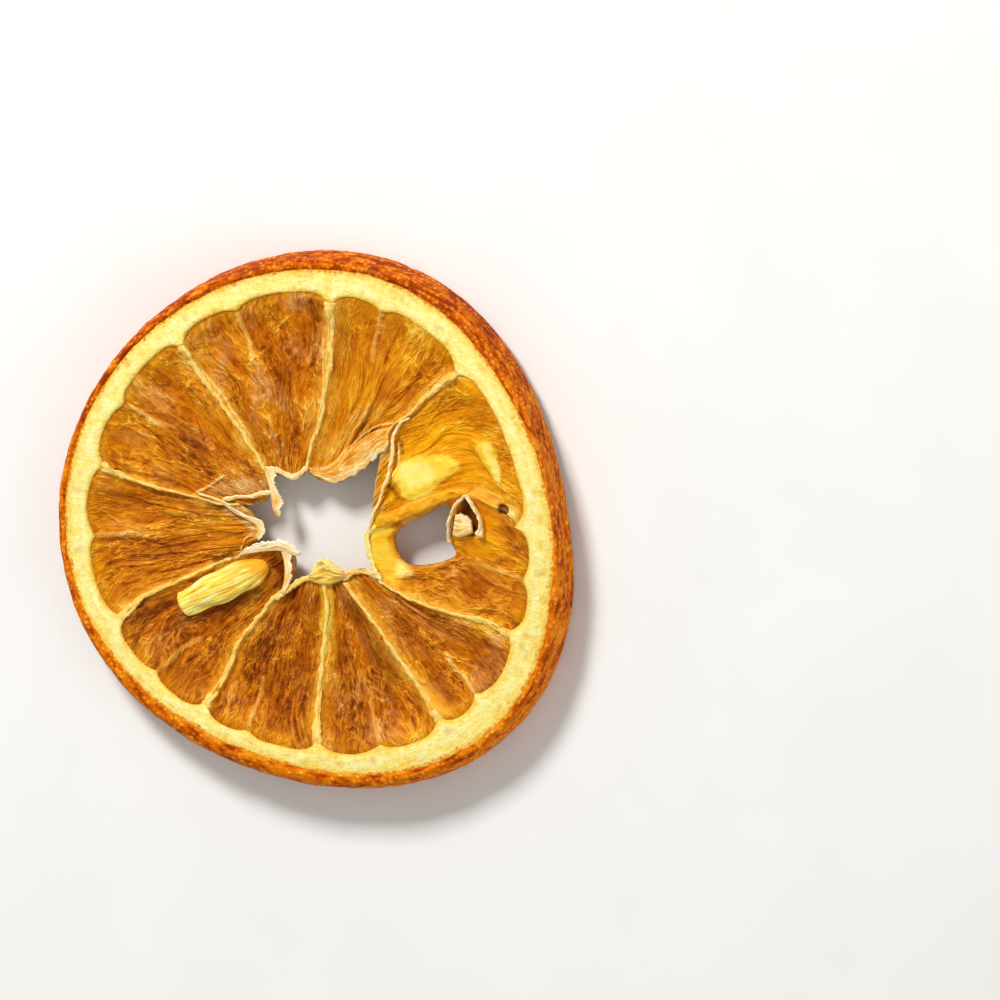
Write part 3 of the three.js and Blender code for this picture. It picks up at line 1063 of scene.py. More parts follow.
@dataclass(frozen=True)
class PeelFinish:
    """Dried zest, orange brown over its oil glands, dark red between them."""

    cloud_size: float = 2.2
    gland_size: float = 0.52
    row_height: float = 0.62
    grain_size: float = 0.13
    flesh: Flesh = Flesh(0.4, 0.12, (1.0, 0.35, 0.08), 0.12)
    # Cream of the pale flecks and painted highlights on the rim.
    skin: Tone = (240, 190, 92)
    zest: Tones = (
        (0.0, 138, 46, 0), (0.2, 194, 86, 1), (0.42, 224, 120, 6), (0.68, 240, 150, 22), (1.0, 248, 186, 62)
    )

    def material(self) -> bpy.types.Material:
        """Builds the material from a pattern of glands and the painted flecks and highlights."""
        shader = Shader("dried_peel")
        fold = shader.painted("crest")
        squash = (1.0, 1.0, self.gland_size / self.row_height)
        place = shader.scaled(shader.place(self.gland_size), squash)
        gland = 1.0 - shader.step(shader.cells(place, "F1", "Distance"), 0.08, 0.62)
        kind = shader.cells(place, "F1", "Color") * 1.0
        cloud = shader.cloud(self.cloud_size, 3.0)
        grain = shader.cloud(self.grain_size, 2.0)
        streak = shader.streaks("ring_grain", (0.5, 2.4, 2.4), 3.0)
        level = gland * (kind * 0.38 + 0.14) + (fold - 0.6) * 0.6 + (cloud - 0.5) * 0.6
        level = level + (grain - 0.5) * 0.4 + (streak - 0.5) * 0.9 + 0.37
        # Pale flecks and painted highlights on the rim, brightest on the glands.
        skin = shader.painted("skin") * (gland * 0.6 + 0.4)
        colour = shader.tint(skin, shader.ramp(level, self.zest), self.skin)
        roughness = 0.68 - gland * 0.2
        relief = gland * 0.6 + streak * 0.25 + grain * 0.15
        return shader.dress(colour, roughness, relief, 0.15, self.flesh.constants())


@dataclass(frozen=True)
class PipFinish:
    """Dry pip skins, cream to bright yellow with fine lengthwise lines."""

    cloud_size: float = 1.3
    grain_size: float = 0.1
    flesh: Flesh = Flesh(0.5, 0.2, (1.0, 0.75, 0.2), 0.2)
    # Golden orange of the stains, of the covering skin and of the painted shade on the underside.
    stain: Tone = (234, 160, 22)
    skin: Tones = ((0.1, 210, 140, 16), (0.4, 242, 202, 56), (0.72, 252, 228, 104), (1.0, 255, 246, 178))

    def material(self) -> bpy.types.Material:
        """Builds the material from the painted ridges and the share along the pip."""
        shader = Shader("pip_skin")
        cloud = shader.cloud(self.cloud_size, 3.0)
        grain = shader.cloud(self.grain_size, 2.0)
        stripe = shader.streaks("skin_grain", (0.35, 4.2, 4.2), 3.0)
        level = shader.painted("crest") * 0.35 + cloud * 0.3 + (stripe - 0.5) * 1.9 + 0.32
        colour = shader.tint(shader.painted("stain"), shader.ramp(level, self.skin), self.stain)
        return shader.dress(colour, 0.45, stripe * 0.8 + grain * 0.2, 0.16, self.flesh.constants())


@dataclass(frozen=True)
class Finishes:
    """Every material of the slice, built once."""

    pulp: bpy.types.Material
    pith: bpy.types.Material
    peel: bpy.types.Material
    pip: bpy.types.Material
    membranes: dict[Membrane, bpy.types.Material]

    @classmethod
    def build(cls) -> "Finishes":
        """Builds the materials."""
        return cls(
            pulp=PulpFinish().material(),
            pith=PithFinish().material(),
            peel=PeelFinish().material(),
            pip=PipFinish().material(),
            membranes={kind: MembraneFinish(kind).material() for kind in Membrane},
        )


# Sub-assemblies

@dataclass
class Peel:
    """The ring of dried peel, knobbly with oil glands."""

    columns: int = 1240
    rows: int = 76
    wrinkle_size: float = 1.9
    small_wrinkle_size: float = 0.9
    wrinkle_depth: float = 0.07
    knob_size: float = 0.7
    knob_height: float = 0.06
    crease_size: Place = (1.6, 1.6, 1.1)
    crease_depth: float = 0.1
    fleck_size: Place = (0.9, 0.9, 0.4)
    shade: float = 0.34
    shaded_at: float = 104.0
    # Strength of the pale flecks and painted highlights on the rim, and the direction they face.
    flecks_and_highlights: float = 0.38
    flecks_and_highlights_at: float = 50.0
    section: tuple[Place, ...] = (
        (0.85, 0.0, 0.88), (0.95, 0.0, 0.955), (1.0, 0.05, 0.985), (1.0, 0.25, 1.0),
        (1.0, 0.52, 0.985), (1.0, 0.8, 0.92), (1.0, 1.03, 0.78), (1.0, 1.19, 0.58), (1.0, 1.29, 0.36),
        (1.0, 1.29, 0.17), (1.0, 1.08, 0.04), (1.0, 0.5, 0.015), (1.0, 0.05, 0.02),
        (0.9, 0.0, 0.05), (0.9, 0.0, 0.45),
    )

    def build(self, finish: bpy.types.Material) -> bpy.types.Object:
        """Shapes a ring into the peel and raises its glands.

        Args:
            finish: The peel's material.

        Returns:
            The finished ring.
        """
        ring = shape_ring("peel", self.columns, self.rows, self.section)
        degrees, shares, points = ring.degrees, ring.shares, ring.points
        knob = soft_step(0.65, 0.1, cell_pattern(points / self.knob_size, 11).nearest)
        wrinkle = soft_noise(points / self.wrinkle_size, 12)
        wrinkle += 0.5 * soft_noise(points / self.small_wrinkle_size, 13)
        crease = ridged(points / self.crease_size, 14, 3)
        relief = self.knob_height * (knob - 0.4) + self.wrinkle_depth * (wrinkle - 0.3)
        relief -= self.crease_depth * crease
        exposed = soft_step(0.0, 0.3, shares[:, 1])
        push_out(ring.piece, relief * (0.3 + 0.7 * exposed))
        shade = self.shade * soft_step(0.0, 0.8, np.cos(np.radians(degrees - self.shaded_at)))
        crest = 0.6 + 0.25 * wrinkle + 0.2 * knob - 0.6 * crease - shade
        paint(ring.piece, "crest", np.clip(crest, 0, 1))
        # Pale flecks with painted highlights along the crest of the rim, on the upper side.
        flecks_and_highlights = soft_step(0.0, 0.3, soft_noise(points / self.fleck_size, 15))
        rim = bell(shares[:, 1] - 0.45, 0.16) * (shares[:, 2] > 0.8)
        upper = soft_step(-0.2, 0.8, np.cos(np.radians(degrees - self.flecks_and_highlights_at)))
        paint(ring.piece, "skin", np.clip(self.flecks_and_highlights * flecks_and_highlights * rim * upper, 0, 1))
        paint(ring.piece, "ring_grain", ring.grain)
        return hand_over(ring.piece, Slot.PEEL, finish)


@dataclass
class Pith:
    """The ring of pale pith that carries the pulp."""

    columns: int = 1240
    rows: int = 66
    swell: float = 0.06
    swell_sizes: Point = (2.4, 1.1)
    uneven: float = 0.1
    pit_gap: float = 0.8
    pit_depth: float = 0.05
    dash_depth: float = 0.03
    sunk: float = 0.03
    dash_gap: float = 0.3
    dash_length: float = 1.3
    streak_gap: float = 0.22
    streak_length: float = 3.5
    section: tuple[Place, ...] = (
        (0.0, 0.0, 0.5), (0.0, 0.0, 0.82), (0.01, 0.0, 0.93), (0.06, 0.0, 0.975), (0.3, 0.0, 0.99),
        (0.65, 0.0, 0.98), (0.92, 0.0, 0.97), (1.0, 0.12, 0.95), (1.0, 0.35, 0.8), (1.0, 0.4, 0.5),
        (1.0, 0.4, 0.2), (1.0, 0.12, 0.05), (0.92, 0.0, 0.02), (0.6, 0.0, 0.008), (0.14, 0.0, 0.03),
        (0.02, 0.0, 0.1), (0.0, 0.0, 0.24),
    )

    def build(self, finish: bpy.types.Material) -> bpy.types.Object:
        """Shapes a ring into the pith and roughens it a little.

        Args:
            finish: The pith's material.

        Returns:
            The finished ring.
        """
        ring = shape_ring("pith", self.columns, self.rows, self.section, self.uneven)
        shares, points = ring.shares, ring.points
        wide, narrow = self.swell_sizes
        low = soft_noise(points / wide, 22) + 0.5 * soft_noise(points / narrow, 23)
        pits = soft_step(0.3, 0.0, cell_pattern(points / self.pit_gap, 24).nearest)
        dashes = soft_noise(ring.grain[:, :2] / (self.dash_gap, self.dash_length), 25)
        dash = soft_step(0.25, 0.75, dashes) * bell(shares[:, 0] - 0.5, 0.36)
        streaks = soft_noise(ring.grain[:, :2] / (self.streak_length, self.streak_gap), 27)
        streak = soft_step(0.2, 0.9, streaks) * soft_step(0.1, 0.5, soft_noise(points / 4.0, 28))
        relief = self.swell * low - self.pit_depth * pits
        relief -= self.dash_depth * dash
        relief -= self.dash_depth * streak
        push_out(ring.piece, relief - self.sunk)
        paint(ring.piece, "across", shares[:, 0] + 0.4 * shares[:, 1])
        blots = 0.3 * pits * (soft_noise(points / 1.7, 26) > 0.0)
        paint(ring.piece, "dash", np.clip(0.5 * dash + 0.3 * streak + blots, 0, 1))
        paint(ring.piece, "ring_grain", ring.grain)
        return hand_over(ring.piece, Slot.PITH, finish)


@dataclass
class Folds:
    """The folded skin of the juice sacs at each place."""

    relief: Array
    crest: Array
    tone: Array
    busy: Array
    grain: Array


@dataclass
class Edges:
    """How near each place of a segment is to its walls, the pith and the core."""

    ridge: Array
    film: Array
    pith_gap: Array
    core_gap: Array


@dataclass(frozen=True)
class Patch:
    """A stretch of pulp that is painted in a way of its own."""

    kind: str
    strength: float
    reach: float
    route: tuple[Point, ...]
    core: float = 0.35
    filled: bool = False

    def cover(self, places: Array, uneven: Array) -> Array:
        """Measures how far the patch covers each place.

        Args:
            places: Places seen from above.
            uneven: How far its edge strays there.

        Returns:
            A share from 0 to the patch's strength for each place.
        """
        line = smooth_path(self.route, 60, closed=self.filled)
        gap, _ = path_distance(places, line)
        if self.filled:
            gap = np.where(inside_loop(places, line[:-1]), -gap, gap) + self.reach * uneven
            return self.strength * soft_step(self.reach, -self.reach, gap)
        return self.strength * soft_step(self.reach, self.core * self.reach, gap * (1 + uneven))


def patches_on(route: tuple[Point, ...], filled: bool, **kinds: Point) -> tuple[Patch, ...]:
    """Returns patches that share a route, one of each kind with its strength and its reach."""
    return tuple(Patch(kind, *amounts, route, filled=filled) for kind, amounts in kinds.items())


@dataclass
class SegmentTone:
    """How one segment's pulp differs from its neighbours."""

    shade: float
    gold: float
    # How much of the pulp takes the pinkish tan of dry bloom and painted sheen.
    dusty: float


@dataclass
class Segment:
    """The shrunken pulp of one segment, between two walls."""

    number: int
    start: Wall
    end: Wall
    tone: SegmentTone
    columns: int = 170
    rows: int = 190
    overlap: float = 0.018
    tuck: float = 0.35
    lip: float = 0.5
    sac_width: float = 1.25
    sac_length: float = 5.5
    sac_lean: float = 54.0
    bend_size: Point = (4.2, 6.0)
    bend: Point = (1.1, 1.3)
    kink_size: Point = (1.2, 1.6)
    kink: Point = (0.17, 0.24)
    coarse_size: Point = (0.78, 1.9)
    coarse_rise: float = 0.13
    fine_size: Point = (0.36, 0.85)
    fine_rise: float = 0.05
    crumple_size: Point = (0.5, 0.8)
    crumple_rise: float = 0.05
    fold_rise: float = 0.24
    hollow_depth: float = 0.38
    seam_rise: float = 0.08
    ridge_width: float = 0.6
    ridge_rise: float = 0.32
    film_width: float = 1.5
    sag: float = 0.25
    patch_rise: float = 0.5
    line_rise: float = 0.14
    pit_depth: float = 0.4
    lift_reach: float = 0.2
    ragged: float = 0.16
    ragged_reach: float = 0.06
    holed: bool = False
    patches: tuple[Patch, ...] = ()

    def wall_path(self, wall: Wall) -> Array:
        """Returns even points along a wall from the core to just inside the pith."""
        return smooth_path((*wall.route, PLAN.wall_end(wall.angle, self.tuck)), 120)

    def layout(self, across: Array, along: Array) -> Array:
        """Spreads the grid between the two walls, the core and the pith.

        Args:
            across: Shares from one wall to the next.
            along: Shares from the core to the pith.

        Returns:
            Places seen from above, in millimetres.
        """
        first = self.wall_path(self.start)
        last = self.wall_path(self.end)
        u = across[:, None]
        v = along[:, None]
        sides = lerp(along_path(first, along), along_path(last, along), u)
        control = 2 * np.array(self.start.tip) - (first[0] + last[0]) / 2
        core = (1 - u) ** 2 * first[0] + 2 * u * (1 - u) * control + u**2 * last[0]
        turn = (self.end.angle - self.start.angle) % 360
        degrees = self.start.angle + turn * across
        rim = rays(degrees) * (PLAN.inner(degrees) + self.tuck)[:, None]
        sides += (1 - v) * (core - lerp(first[0], last[0], u))
        sides += v * (rim - lerp(first[-1], last[-1], u))
        return sides

    def wrinkles(self, fibre: Array, seed: int) -> Folds:
        """Folds the skin of the juice sacs.

        Args:
            fibre: Places across and along the sacs, in millimetres.
            seed: Chooses one of many patterns.

        Returns:
            The folds at each place.
        """
        bend = [soft_noise(fibre / self.bend_size, seed + turn) for turn in (0, 1)]
        kink = [soft_noise(fibre / self.kink_size, seed + turn) for turn in (2, 3)]
        swayed = fibre + np.column_stack(bend) * self.bend + np.column_stack(kink) * self.kink
        sacs = cell_pattern(swayed / (self.sac_width, self.sac_length), seed + 4)
        border = sacs.second - sacs.nearest
        seam = bell(border, 0.07)
        calm = soft_step(0.0, 0.3, border)
        lean = np.radians((hash_share(sacs.key, 1) - 0.5) * self.sac_lean)
        x = sacs.offset[:, 0] * self.sac_width
        y = sacs.offset[:, 1] * self.sac_length
        turned = np.column_stack([x * np.cos(lean) + y * np.sin(lean), y * np.cos(lean) - x * np.sin(lean)])
        turned += hash_share(sacs.key, 2)[:, None] * 40
        busy = soft_step(-0.5, 0.3, soft_noise(fibre / (2.2, 4.0), seed + 10))
        coarse = ridged(turned / self.coarse_size, seed + 5, 4)
        fine = ridged(turned / self.fine_size, seed + 6, 3)
        crumple = soft_noise(fibre / self.crumple_size, seed + 11)
        folds = soft_noise(fibre / (3.0, 5.0), seed + 8) + 0.5 * soft_noise(fibre / (1.2, 1.9), seed + 9)
        hollow = (hash_share(sacs.key, 4) - 0.45) * (1 - np.clip(sacs.nearest, 0, 1) ** 2)
        relief = self.seam_rise * seam + self.fold_rise * folds + self.hollow_depth * calm * hollow
        relief += self.crumple_rise * crumple
        relief += calm * (0.3 + 0.7 * busy) * (self.coarse_rise * coarse + self.fine_rise * fine)
        crest = 0.4 * seam * (0.3 + 0.7 * busy) + calm * busy * (0.5 * coarse + 0.3 * fine)
        crest += 0.25 * hollow + 0.15 * crumple
        tone = 0.6 * (hash_share(sacs.key, 3) * 2 - 1) + 0.7 * folds + 0.5 * hollow
        grain = np.column_stack([swayed + 13.0 * seed, np.zeros(len(fibre))])
        return Folds(relief, crest, tone, busy, grain)

    def face(self, side: Side, across: Array, along: Array, places: Array) -> tuple[Array, dict]:
        """Shapes one face of the pulp.

        Args:
            side: Which cut face.
            across: Shares from one wall to the next.
            along: Shares from the core to the pith.
            places: The grid seen from above.

        Returns:
            The height of each vertex, and what is painted on it.
        """
        seed = 100 * self.number + (0 if side is Side.TOP else 50)
        line = self.wall_path(self.start)
        length = np.linalg.norm(line[-1] - line[0])
        width = 2 * math.pi * PLAN.pith_inner * ((self.end.angle - self.start.angle) % 360) / 360
        local = width * lerp(0.42, 1.0, along)
        spread = np.sqrt(width * local) * (1.2 - 0.4 * along)
        fibre = np.column_stack([(across - 0.5) * spread, along * length])
        folds = self.wrinkles(fibre, seed)
        covers = self.covers(places, side)
        edges = self.edges(across, along, local, length)
        gold = self.gold(places) if side is Side.TOP else 0.3 * self.gold(places)
        sag = np.sin(np.pi * np.clip(across, 0, 1)) * np.sin(np.pi * along**0.8)
        calm = (1 - 0.75 * edges.film) * (1 - 0.6 * bell(edges.pith_gap, 0.6))
        calm *= 1 - 0.95 * covers["smooth"]
        calm *= 1 - 0.3 * gold
        rise = folds.relief * calm + self.ridge_rise * edges.ridge - self.sag * sag
        rise += (self.patch_rise * covers["rise"] + self.line_rise * covers["line"]
                 - self.pit_depth * covers["pit"])
        if side is Side.TOP:
            lift = self.start.lift * np.sin(np.pi * np.clip(across, 0, 1))
            rise += lift * np.clip(1 - along / self.lift_reach, 0, 1) ** 2
        height = PLAN.below_skin(PLAN.bed(*places.T, side) + side.value * rise)
        painted = self.paints(fibre, seed, folds, edges, covers, gold)
        return height, painted

    def edges(self, across: Array, along: Array, width: Array, length: float) -> Edges:
        """Measures how near each place is to what borders the segment.

        Args:
            across: Shares from one wall to the next.
            along: Shares from the core to the pith.
            width: The segment's width at each place, in millimetres.
            length: Its length, in millimetres.

        Returns:
            The wall's ridge and film there, and the gaps to the pith and the core.
        """
        near_start = np.clip(across, 0, 1) < 0.5
        wall_gap = np.minimum(np.clip(across, 0, 1), np.clip(1 - across, 0, 1)) * width
        swell = np.where(near_start, self.swelling(self.start, along, self.start.seed),
                         self.swelling(self.end, along, self.end.seed + 40))
        ridge = bell(wall_gap, self.ridge_width * swell)
        film = bell(wall_gap, self.film_width * swell)
        return Edges(ridge, film, (1 - along) * length - self.tuck, along * length)

    def paints(self, fibre: Array, seed: int, folds: Folds, edges: Edges, covers: dict[str, Array],
               gold: Array) -> dict[str, Array]:
        """Works out what is painted on one face, for its finish to read.

        Args:
            fibre: Places across and along the sacs, in millimetres.
            seed: Chooses one of many patterns.
            folds: The folded skin of the sacs.
            edges: How near each place is to the segment's borders.
            covers: How far each kind of patch covers it.
            gold: How far it is bright yellow.

        Returns:
            The values of each kind of paint.
        """
        ridge, film = edges.ridge, edges.film
        cloud = soft_noise(fibre / (3.5, 5.0), seed + 20)
        # Where the pinkish tan of dry bloom and painted sheen lies.
        dust_and_sheen_cloud = soft_noise(fibre / (2.6, 3.4), seed + 21) + 0.4 * soft_noise(fibre / 0.7, seed + 22)
        rough = 1 - 0.8 * covers["smooth"]
        skin = 0.8 * film + 0.5 * bell(edges.core_gap, 0.8)
        pale = 0.5 * bell(edges.core_gap, 0.35)
        # Painted shade along the pith's edge, plus random darker zones away from the gold.
        gloom = 0.22 * bell(edges.pith_gap, 0.25) + 0.3 * soft_step(0.3, 1.0, -cloud) * (1 - gold)
        painted = {
            "crest": folds.crest * (1 - 0.4 * film) * rough + 0.5 * ridge + 0.6 * covers["line"],
            "tone": 0.8 * folds.tone + 0.6 * cloud + self.tone.shade,
            "busy": (0.4 + 0.6 * folds.busy) * rough * (1 - 0.4 * gold),
            "gold": np.maximum.reduce([gold, film, 0.55 * bell(edges.pith_gap, 1.1), covers["gold"]]),
            "dusty": self.tone.dusty * soft_step(0.0, 0.6, dust_and_sheen_cloud),
            "skin": np.maximum.reduce([skin, covers["skin"], covers["line"]]),
            "pale": np.maximum.reduce([pale, covers["pale"], 0.3 * covers["line"]]),
            "glow": covers["glow"],
            "white": covers["white"],
            "smooth": covers["smooth"],
            "gloom": gloom + covers["gloom"],
        }
        lowest = {"tone": -1.5}
        painted = {kind: np.clip(share, lowest.get(kind, 0), 1) for kind, share in painted.items()}
        painted["sac_grain"] = folds.grain
        return painted

    def covers(self, places: Array, side: Side) -> dict[str, Array]:
        """Measures how far the patches of each kind cover each place."""
        kinds = ("line", "pale", "gold", "skin", "glow", "white", "gloom", "smooth", "pit", "rise")
        covers = {kind: np.zeros(len(places)) for kind in kinds}
        if side is Side.TOP:
            uneven = soft_noise(places / 0.8, 61) * 0.35
            for patch in self.patches:
                covers[patch.kind] = np.maximum(covers[patch.kind], patch.cover(places, uneven))
        return covers

    @staticmethod
    def swelling(wall: Wall, along: Array, seed: int) -> Array:
        """Measures how wide a wall's film spreads to one side of it.

        Args:
            wall: The wall.
            along: Shares from the core to the pith.
            seed: Chooses one of many patterns.

        Returns:
            The width at each share, in millimetres.
        """
        knots = np.column_stack([along * 9, along * 0 + seed])
        uneven = soft_noise(knots, seed) + 0.5 * soft_noise(knots * 2.7, seed + 1)
        return wall.width * np.clip(0.8 + 0.6 * uneven, 0.3, 1.8)

    def gold(self, places: Array) -> Array:
        """Returns how far each place is bright yellow rather than amber."""
        cloud = soft_noise(places / 4.0, 7 + self.number)
        near = np.zeros(len(places))
        for middle, reach in (((12.5, 6.0), 7.5), ((6.5, -2.5), 3.5), ((16.5, 0.0), 4.5)):
            near = np.maximum(near, soft_step(reach, 0.45 * reach, np.linalg.norm(places - middle, axis=1)))
        return np.clip(self.tone.gold + 0.35 * cloud + 1.0 * near - 0.1, 0, 1)

    def shell(self, side: Side) -> bpy.types.Object:
        """Makes one face of the pulp as an open shell with its edge at half height.

        Args:
            side: Which cut face.

        Returns:
            The shell.
        """
        name = f"pulp_{self.number + 1:02d}" + ("" if side is Side.TOP else "_under")
        piece, u, v = grid_piece(name, self.columns, self.rows)
        across = lerp(-self.overlap, 1 + self.overlap, u)
        places = self.layout(across, v)
        heights, painted = self.face(side, across, v, places)
        middle = (PLAN.bed(*places.T, Side.TOP) + PLAN.bed(*places.T, Side.UNDER)) / 2
        middle += self.start.lift * np.sin(np.pi * u) * np.clip(1 - v / self.lift_reach, 0, 1) ** 2
        gap = v * 16
        gone = None
        if self.holed:
            outline_gap, nearest = path_distance(places, PIP_HOLE)
            inside = inside_loop(places, PIP_HOLE)
            gap = np.minimum(gap, np.where(inside, 0, outline_gap))
            faces = np.array([face.vertices[:] for face in piece.data.polygons])
            gone = inside_loop(places[faces].mean(axis=1), PIP_HOLE)
            edge = np.intersect1d(faces[gone].ravel(), faces[~gone].ravel())
            places[edge] = PIP_HOLE[nearest[edge]]
            gap[edge] = 0
            painted["skin"] = np.clip(painted["skin"] + 0.8 * bell(outline_gap, 0.35), 0, 1)
        border = (u < 1e-4) | (u > 1 - 1e-4) | (v > 1 - 1e-4)
        heights = middle + (heights - middle) * np.where(border, 0, round_edge(gap / self.lip))
        ragged = self.ragged * soft_noise(np.column_stack([u * 9, u * 0 + self.number]), 31)
        inward = -places / np.linalg.norm(places, axis=1)[:, None]
        places = places + inward * (ragged * np.clip(1 - v / self.ragged_reach, 0, 1) ** 2)[:, None]
        write_points(piece, np.column_stack([places, heights]))
        for key, values in painted.items():
            paint(piece, key, values)
        if gone is not None and gone.any():
            delete_faces(piece, gone)
        return piece

    def build(self, finish: bpy.types.Material) -> bpy.types.Object:
        """Joins the two faces into closed pulp.

        Args:
            finish: The pulp's material.

        Returns:
            The finished segment.
        """
        return hand_over(weld([self.shell(side) for side in Side]), Slot.PULP, finish)


@dataclass(frozen=True)
class Strand:
    """A dried string, wall edge or torn ribbon that lies on the pulp."""

    name: str
    kind: Membrane
    width: float
    route: tuple[Place, ...]
    end_width: Optional[float] = None
    height: float = 0.12
    side: Side = Side.TOP
    slot: Slot = Slot.PULP
    ragged: float = 0.3
    sway: Point = (0.12, 0.04)
    around: int = 20
    per_mm: float = 9.0

    def build(self, finishes: Finishes) -> bpy.types.Object:
        """Rolls a grid into a string along the route.

        Args:
            finishes: The slice's materials.

        Returns:
            The finished string.
        """
        path = smooth_path(self.route, 400)
        length = path_length(path)
        rows = max(24, int(length * self.per_mm))
        piece, roll, along = grid_piece(self.name, self.around, rows)
        seed = name_seed(self.name)
        centre = along_path(path, along)
        ahead = np.gradient(path[:, :2], axis=0)
        ahead = along_path(ahead / np.linalg.norm(ahead, axis=1)[:, None], along)
        sideways = np.column_stack([-ahead[:, 1], ahead[:, 0]])
        travel = along * length
        angle = roll * math.tau
        edge = np.cos(angle)
        knots = np.column_stack([travel / 1.3, np.full(len(travel), seed * 0.37)])
        sway = soft_noise(knots, seed) * self.sway[0] + soft_noise(knots * 3, seed + 1) * self.sway[1]
        swell = 1.3 * soft_noise(knots, seed + 2) + 0.6 * soft_noise(knots * 3.3, seed + 3)
        swell = 1 + self.ragged * swell
        fringe = np.column_stack([travel / 0.5, edge * 1.3 + seed])
        frill = 0.9 * soft_noise(fringe, seed + 4) + 0.5 * soft_noise(fringe * 2.5, seed + 5)
        frill = 1 + self.ragged * frill
        end_width = self.width if self.end_width is None else self.end_width
        tip = np.sqrt(np.clip(np.minimum(travel, length - travel) / (0.8 * self.width), 0, 1))
        half_width = lerp(self.width, end_width, along**4) / 2 * np.clip(swell, 0.35, 1.8) * tip
        plan = centre[:, :2] + sideways * (sway + half_width * edge * frill)[:, None]
        buckle = 0.7 * soft_noise(np.column_stack([travel / 0.8, edge + seed]), seed + 6)
        rise = self.height * tip * (buckle + np.clip(swell, 0.6, 1.4) * np.sin(angle))
        bed = PLAN.bed(*centre[:, :2].T, self.side)
        write_points(piece, np.column_stack([plan, bed + self.side.value * (centre[:, 2] + rise)]))
        lines = soft_noise(np.column_stack([travel / 1.5, 4 * edge]), seed + 7)
        crest = 0.4 + 0.25 * np.sin(angle) + 0.2 * edge**2 + 0.4 * lines + 0.25 * buckle
        paint(piece, "crest", np.clip(crest, 0, 1))
        return hand_over(weld([piece]), self.slot, finishes.membranes[self.kind])


@dataclass(frozen=True)
class Film:
    """A thin torn skin, from the line that holds it to its ragged free edge."""

    name: str
    kind: Membrane
    held: tuple[Place, ...]
    free: tuple[Place, ...]
    thickness: float = 0.28
    slot: Slot = Slot.PULP
    ragged: float = 0.2
    crumple: float = 0.12
    columns: int = 110
    rows: int = 44

    def shell(self, side: Side) -> bpy.types.Object:
        """Makes one face of the skin as an open shell.

        Args:
            side: Which face.

        Returns:
            The shell.
        """
        name = self.name + ("" if side is Side.TOP else "_under")
        piece, u, v = grid_piece(name, self.columns, self.rows)
        seed = name_seed(self.name)
        held_line = smooth_path(self.held, 200)
        held = along_path(held_line, u)
        free = along_path(smooth_path(self.free, 200), u)
        teeth = soft_noise(np.column_stack([u * 9, u * 0 + seed]), seed)
        teeth += 0.5 * soft_noise(np.column_stack([u * 22, u * 0 + seed]), seed + 1)
        reach = v * (1 + self.ragged * teeth * v)
        points = lerp(held, free, reach[:, None])
        depth = np.linalg.norm(free - held, axis=1).mean()
        lengthwise = np.column_stack([u * path_length(held_line), v * depth])
        lines = ridged(lengthwise / (2.2, 0.42), seed + 3)
        folds = soft_noise(points[:, :2] / 1.5, seed + 2) + 0.7 * lines
        edge = np.minimum(np.minimum(u, 1 - u) * self.columns / 5, np.minimum(v, 1 - v) * self.rows / 5)
        body = round_edge(edge) * self.thickness / 2
        bed = PLAN.bed(*points[:, :2].T, Side.TOP)
        points[:, 2] += bed + self.crumple * folds * np.clip(v * 3, 0, 1) + side.value * body
        write_points(piece, points)
        crest = 0.2 + 0.35 * lines + 0.3 * soft_noise(lengthwise / (1.4, 0.5), seed + 4)
        paint(piece, "crest", np.clip(crest + 0.65 * v**2, 0, 1))
        return piece

    def build(self, finishes: Finishes) -> bpy.types.Object:
        """Joins the two faces into a closed skin.

        Args:
            finishes: The slice's materials.

        Returns:
            The finished skin.
        """
        piece = weld([self.shell(side) for side in Side])
        return hand_over(piece, self.slot, finishes.membranes[self.kind])


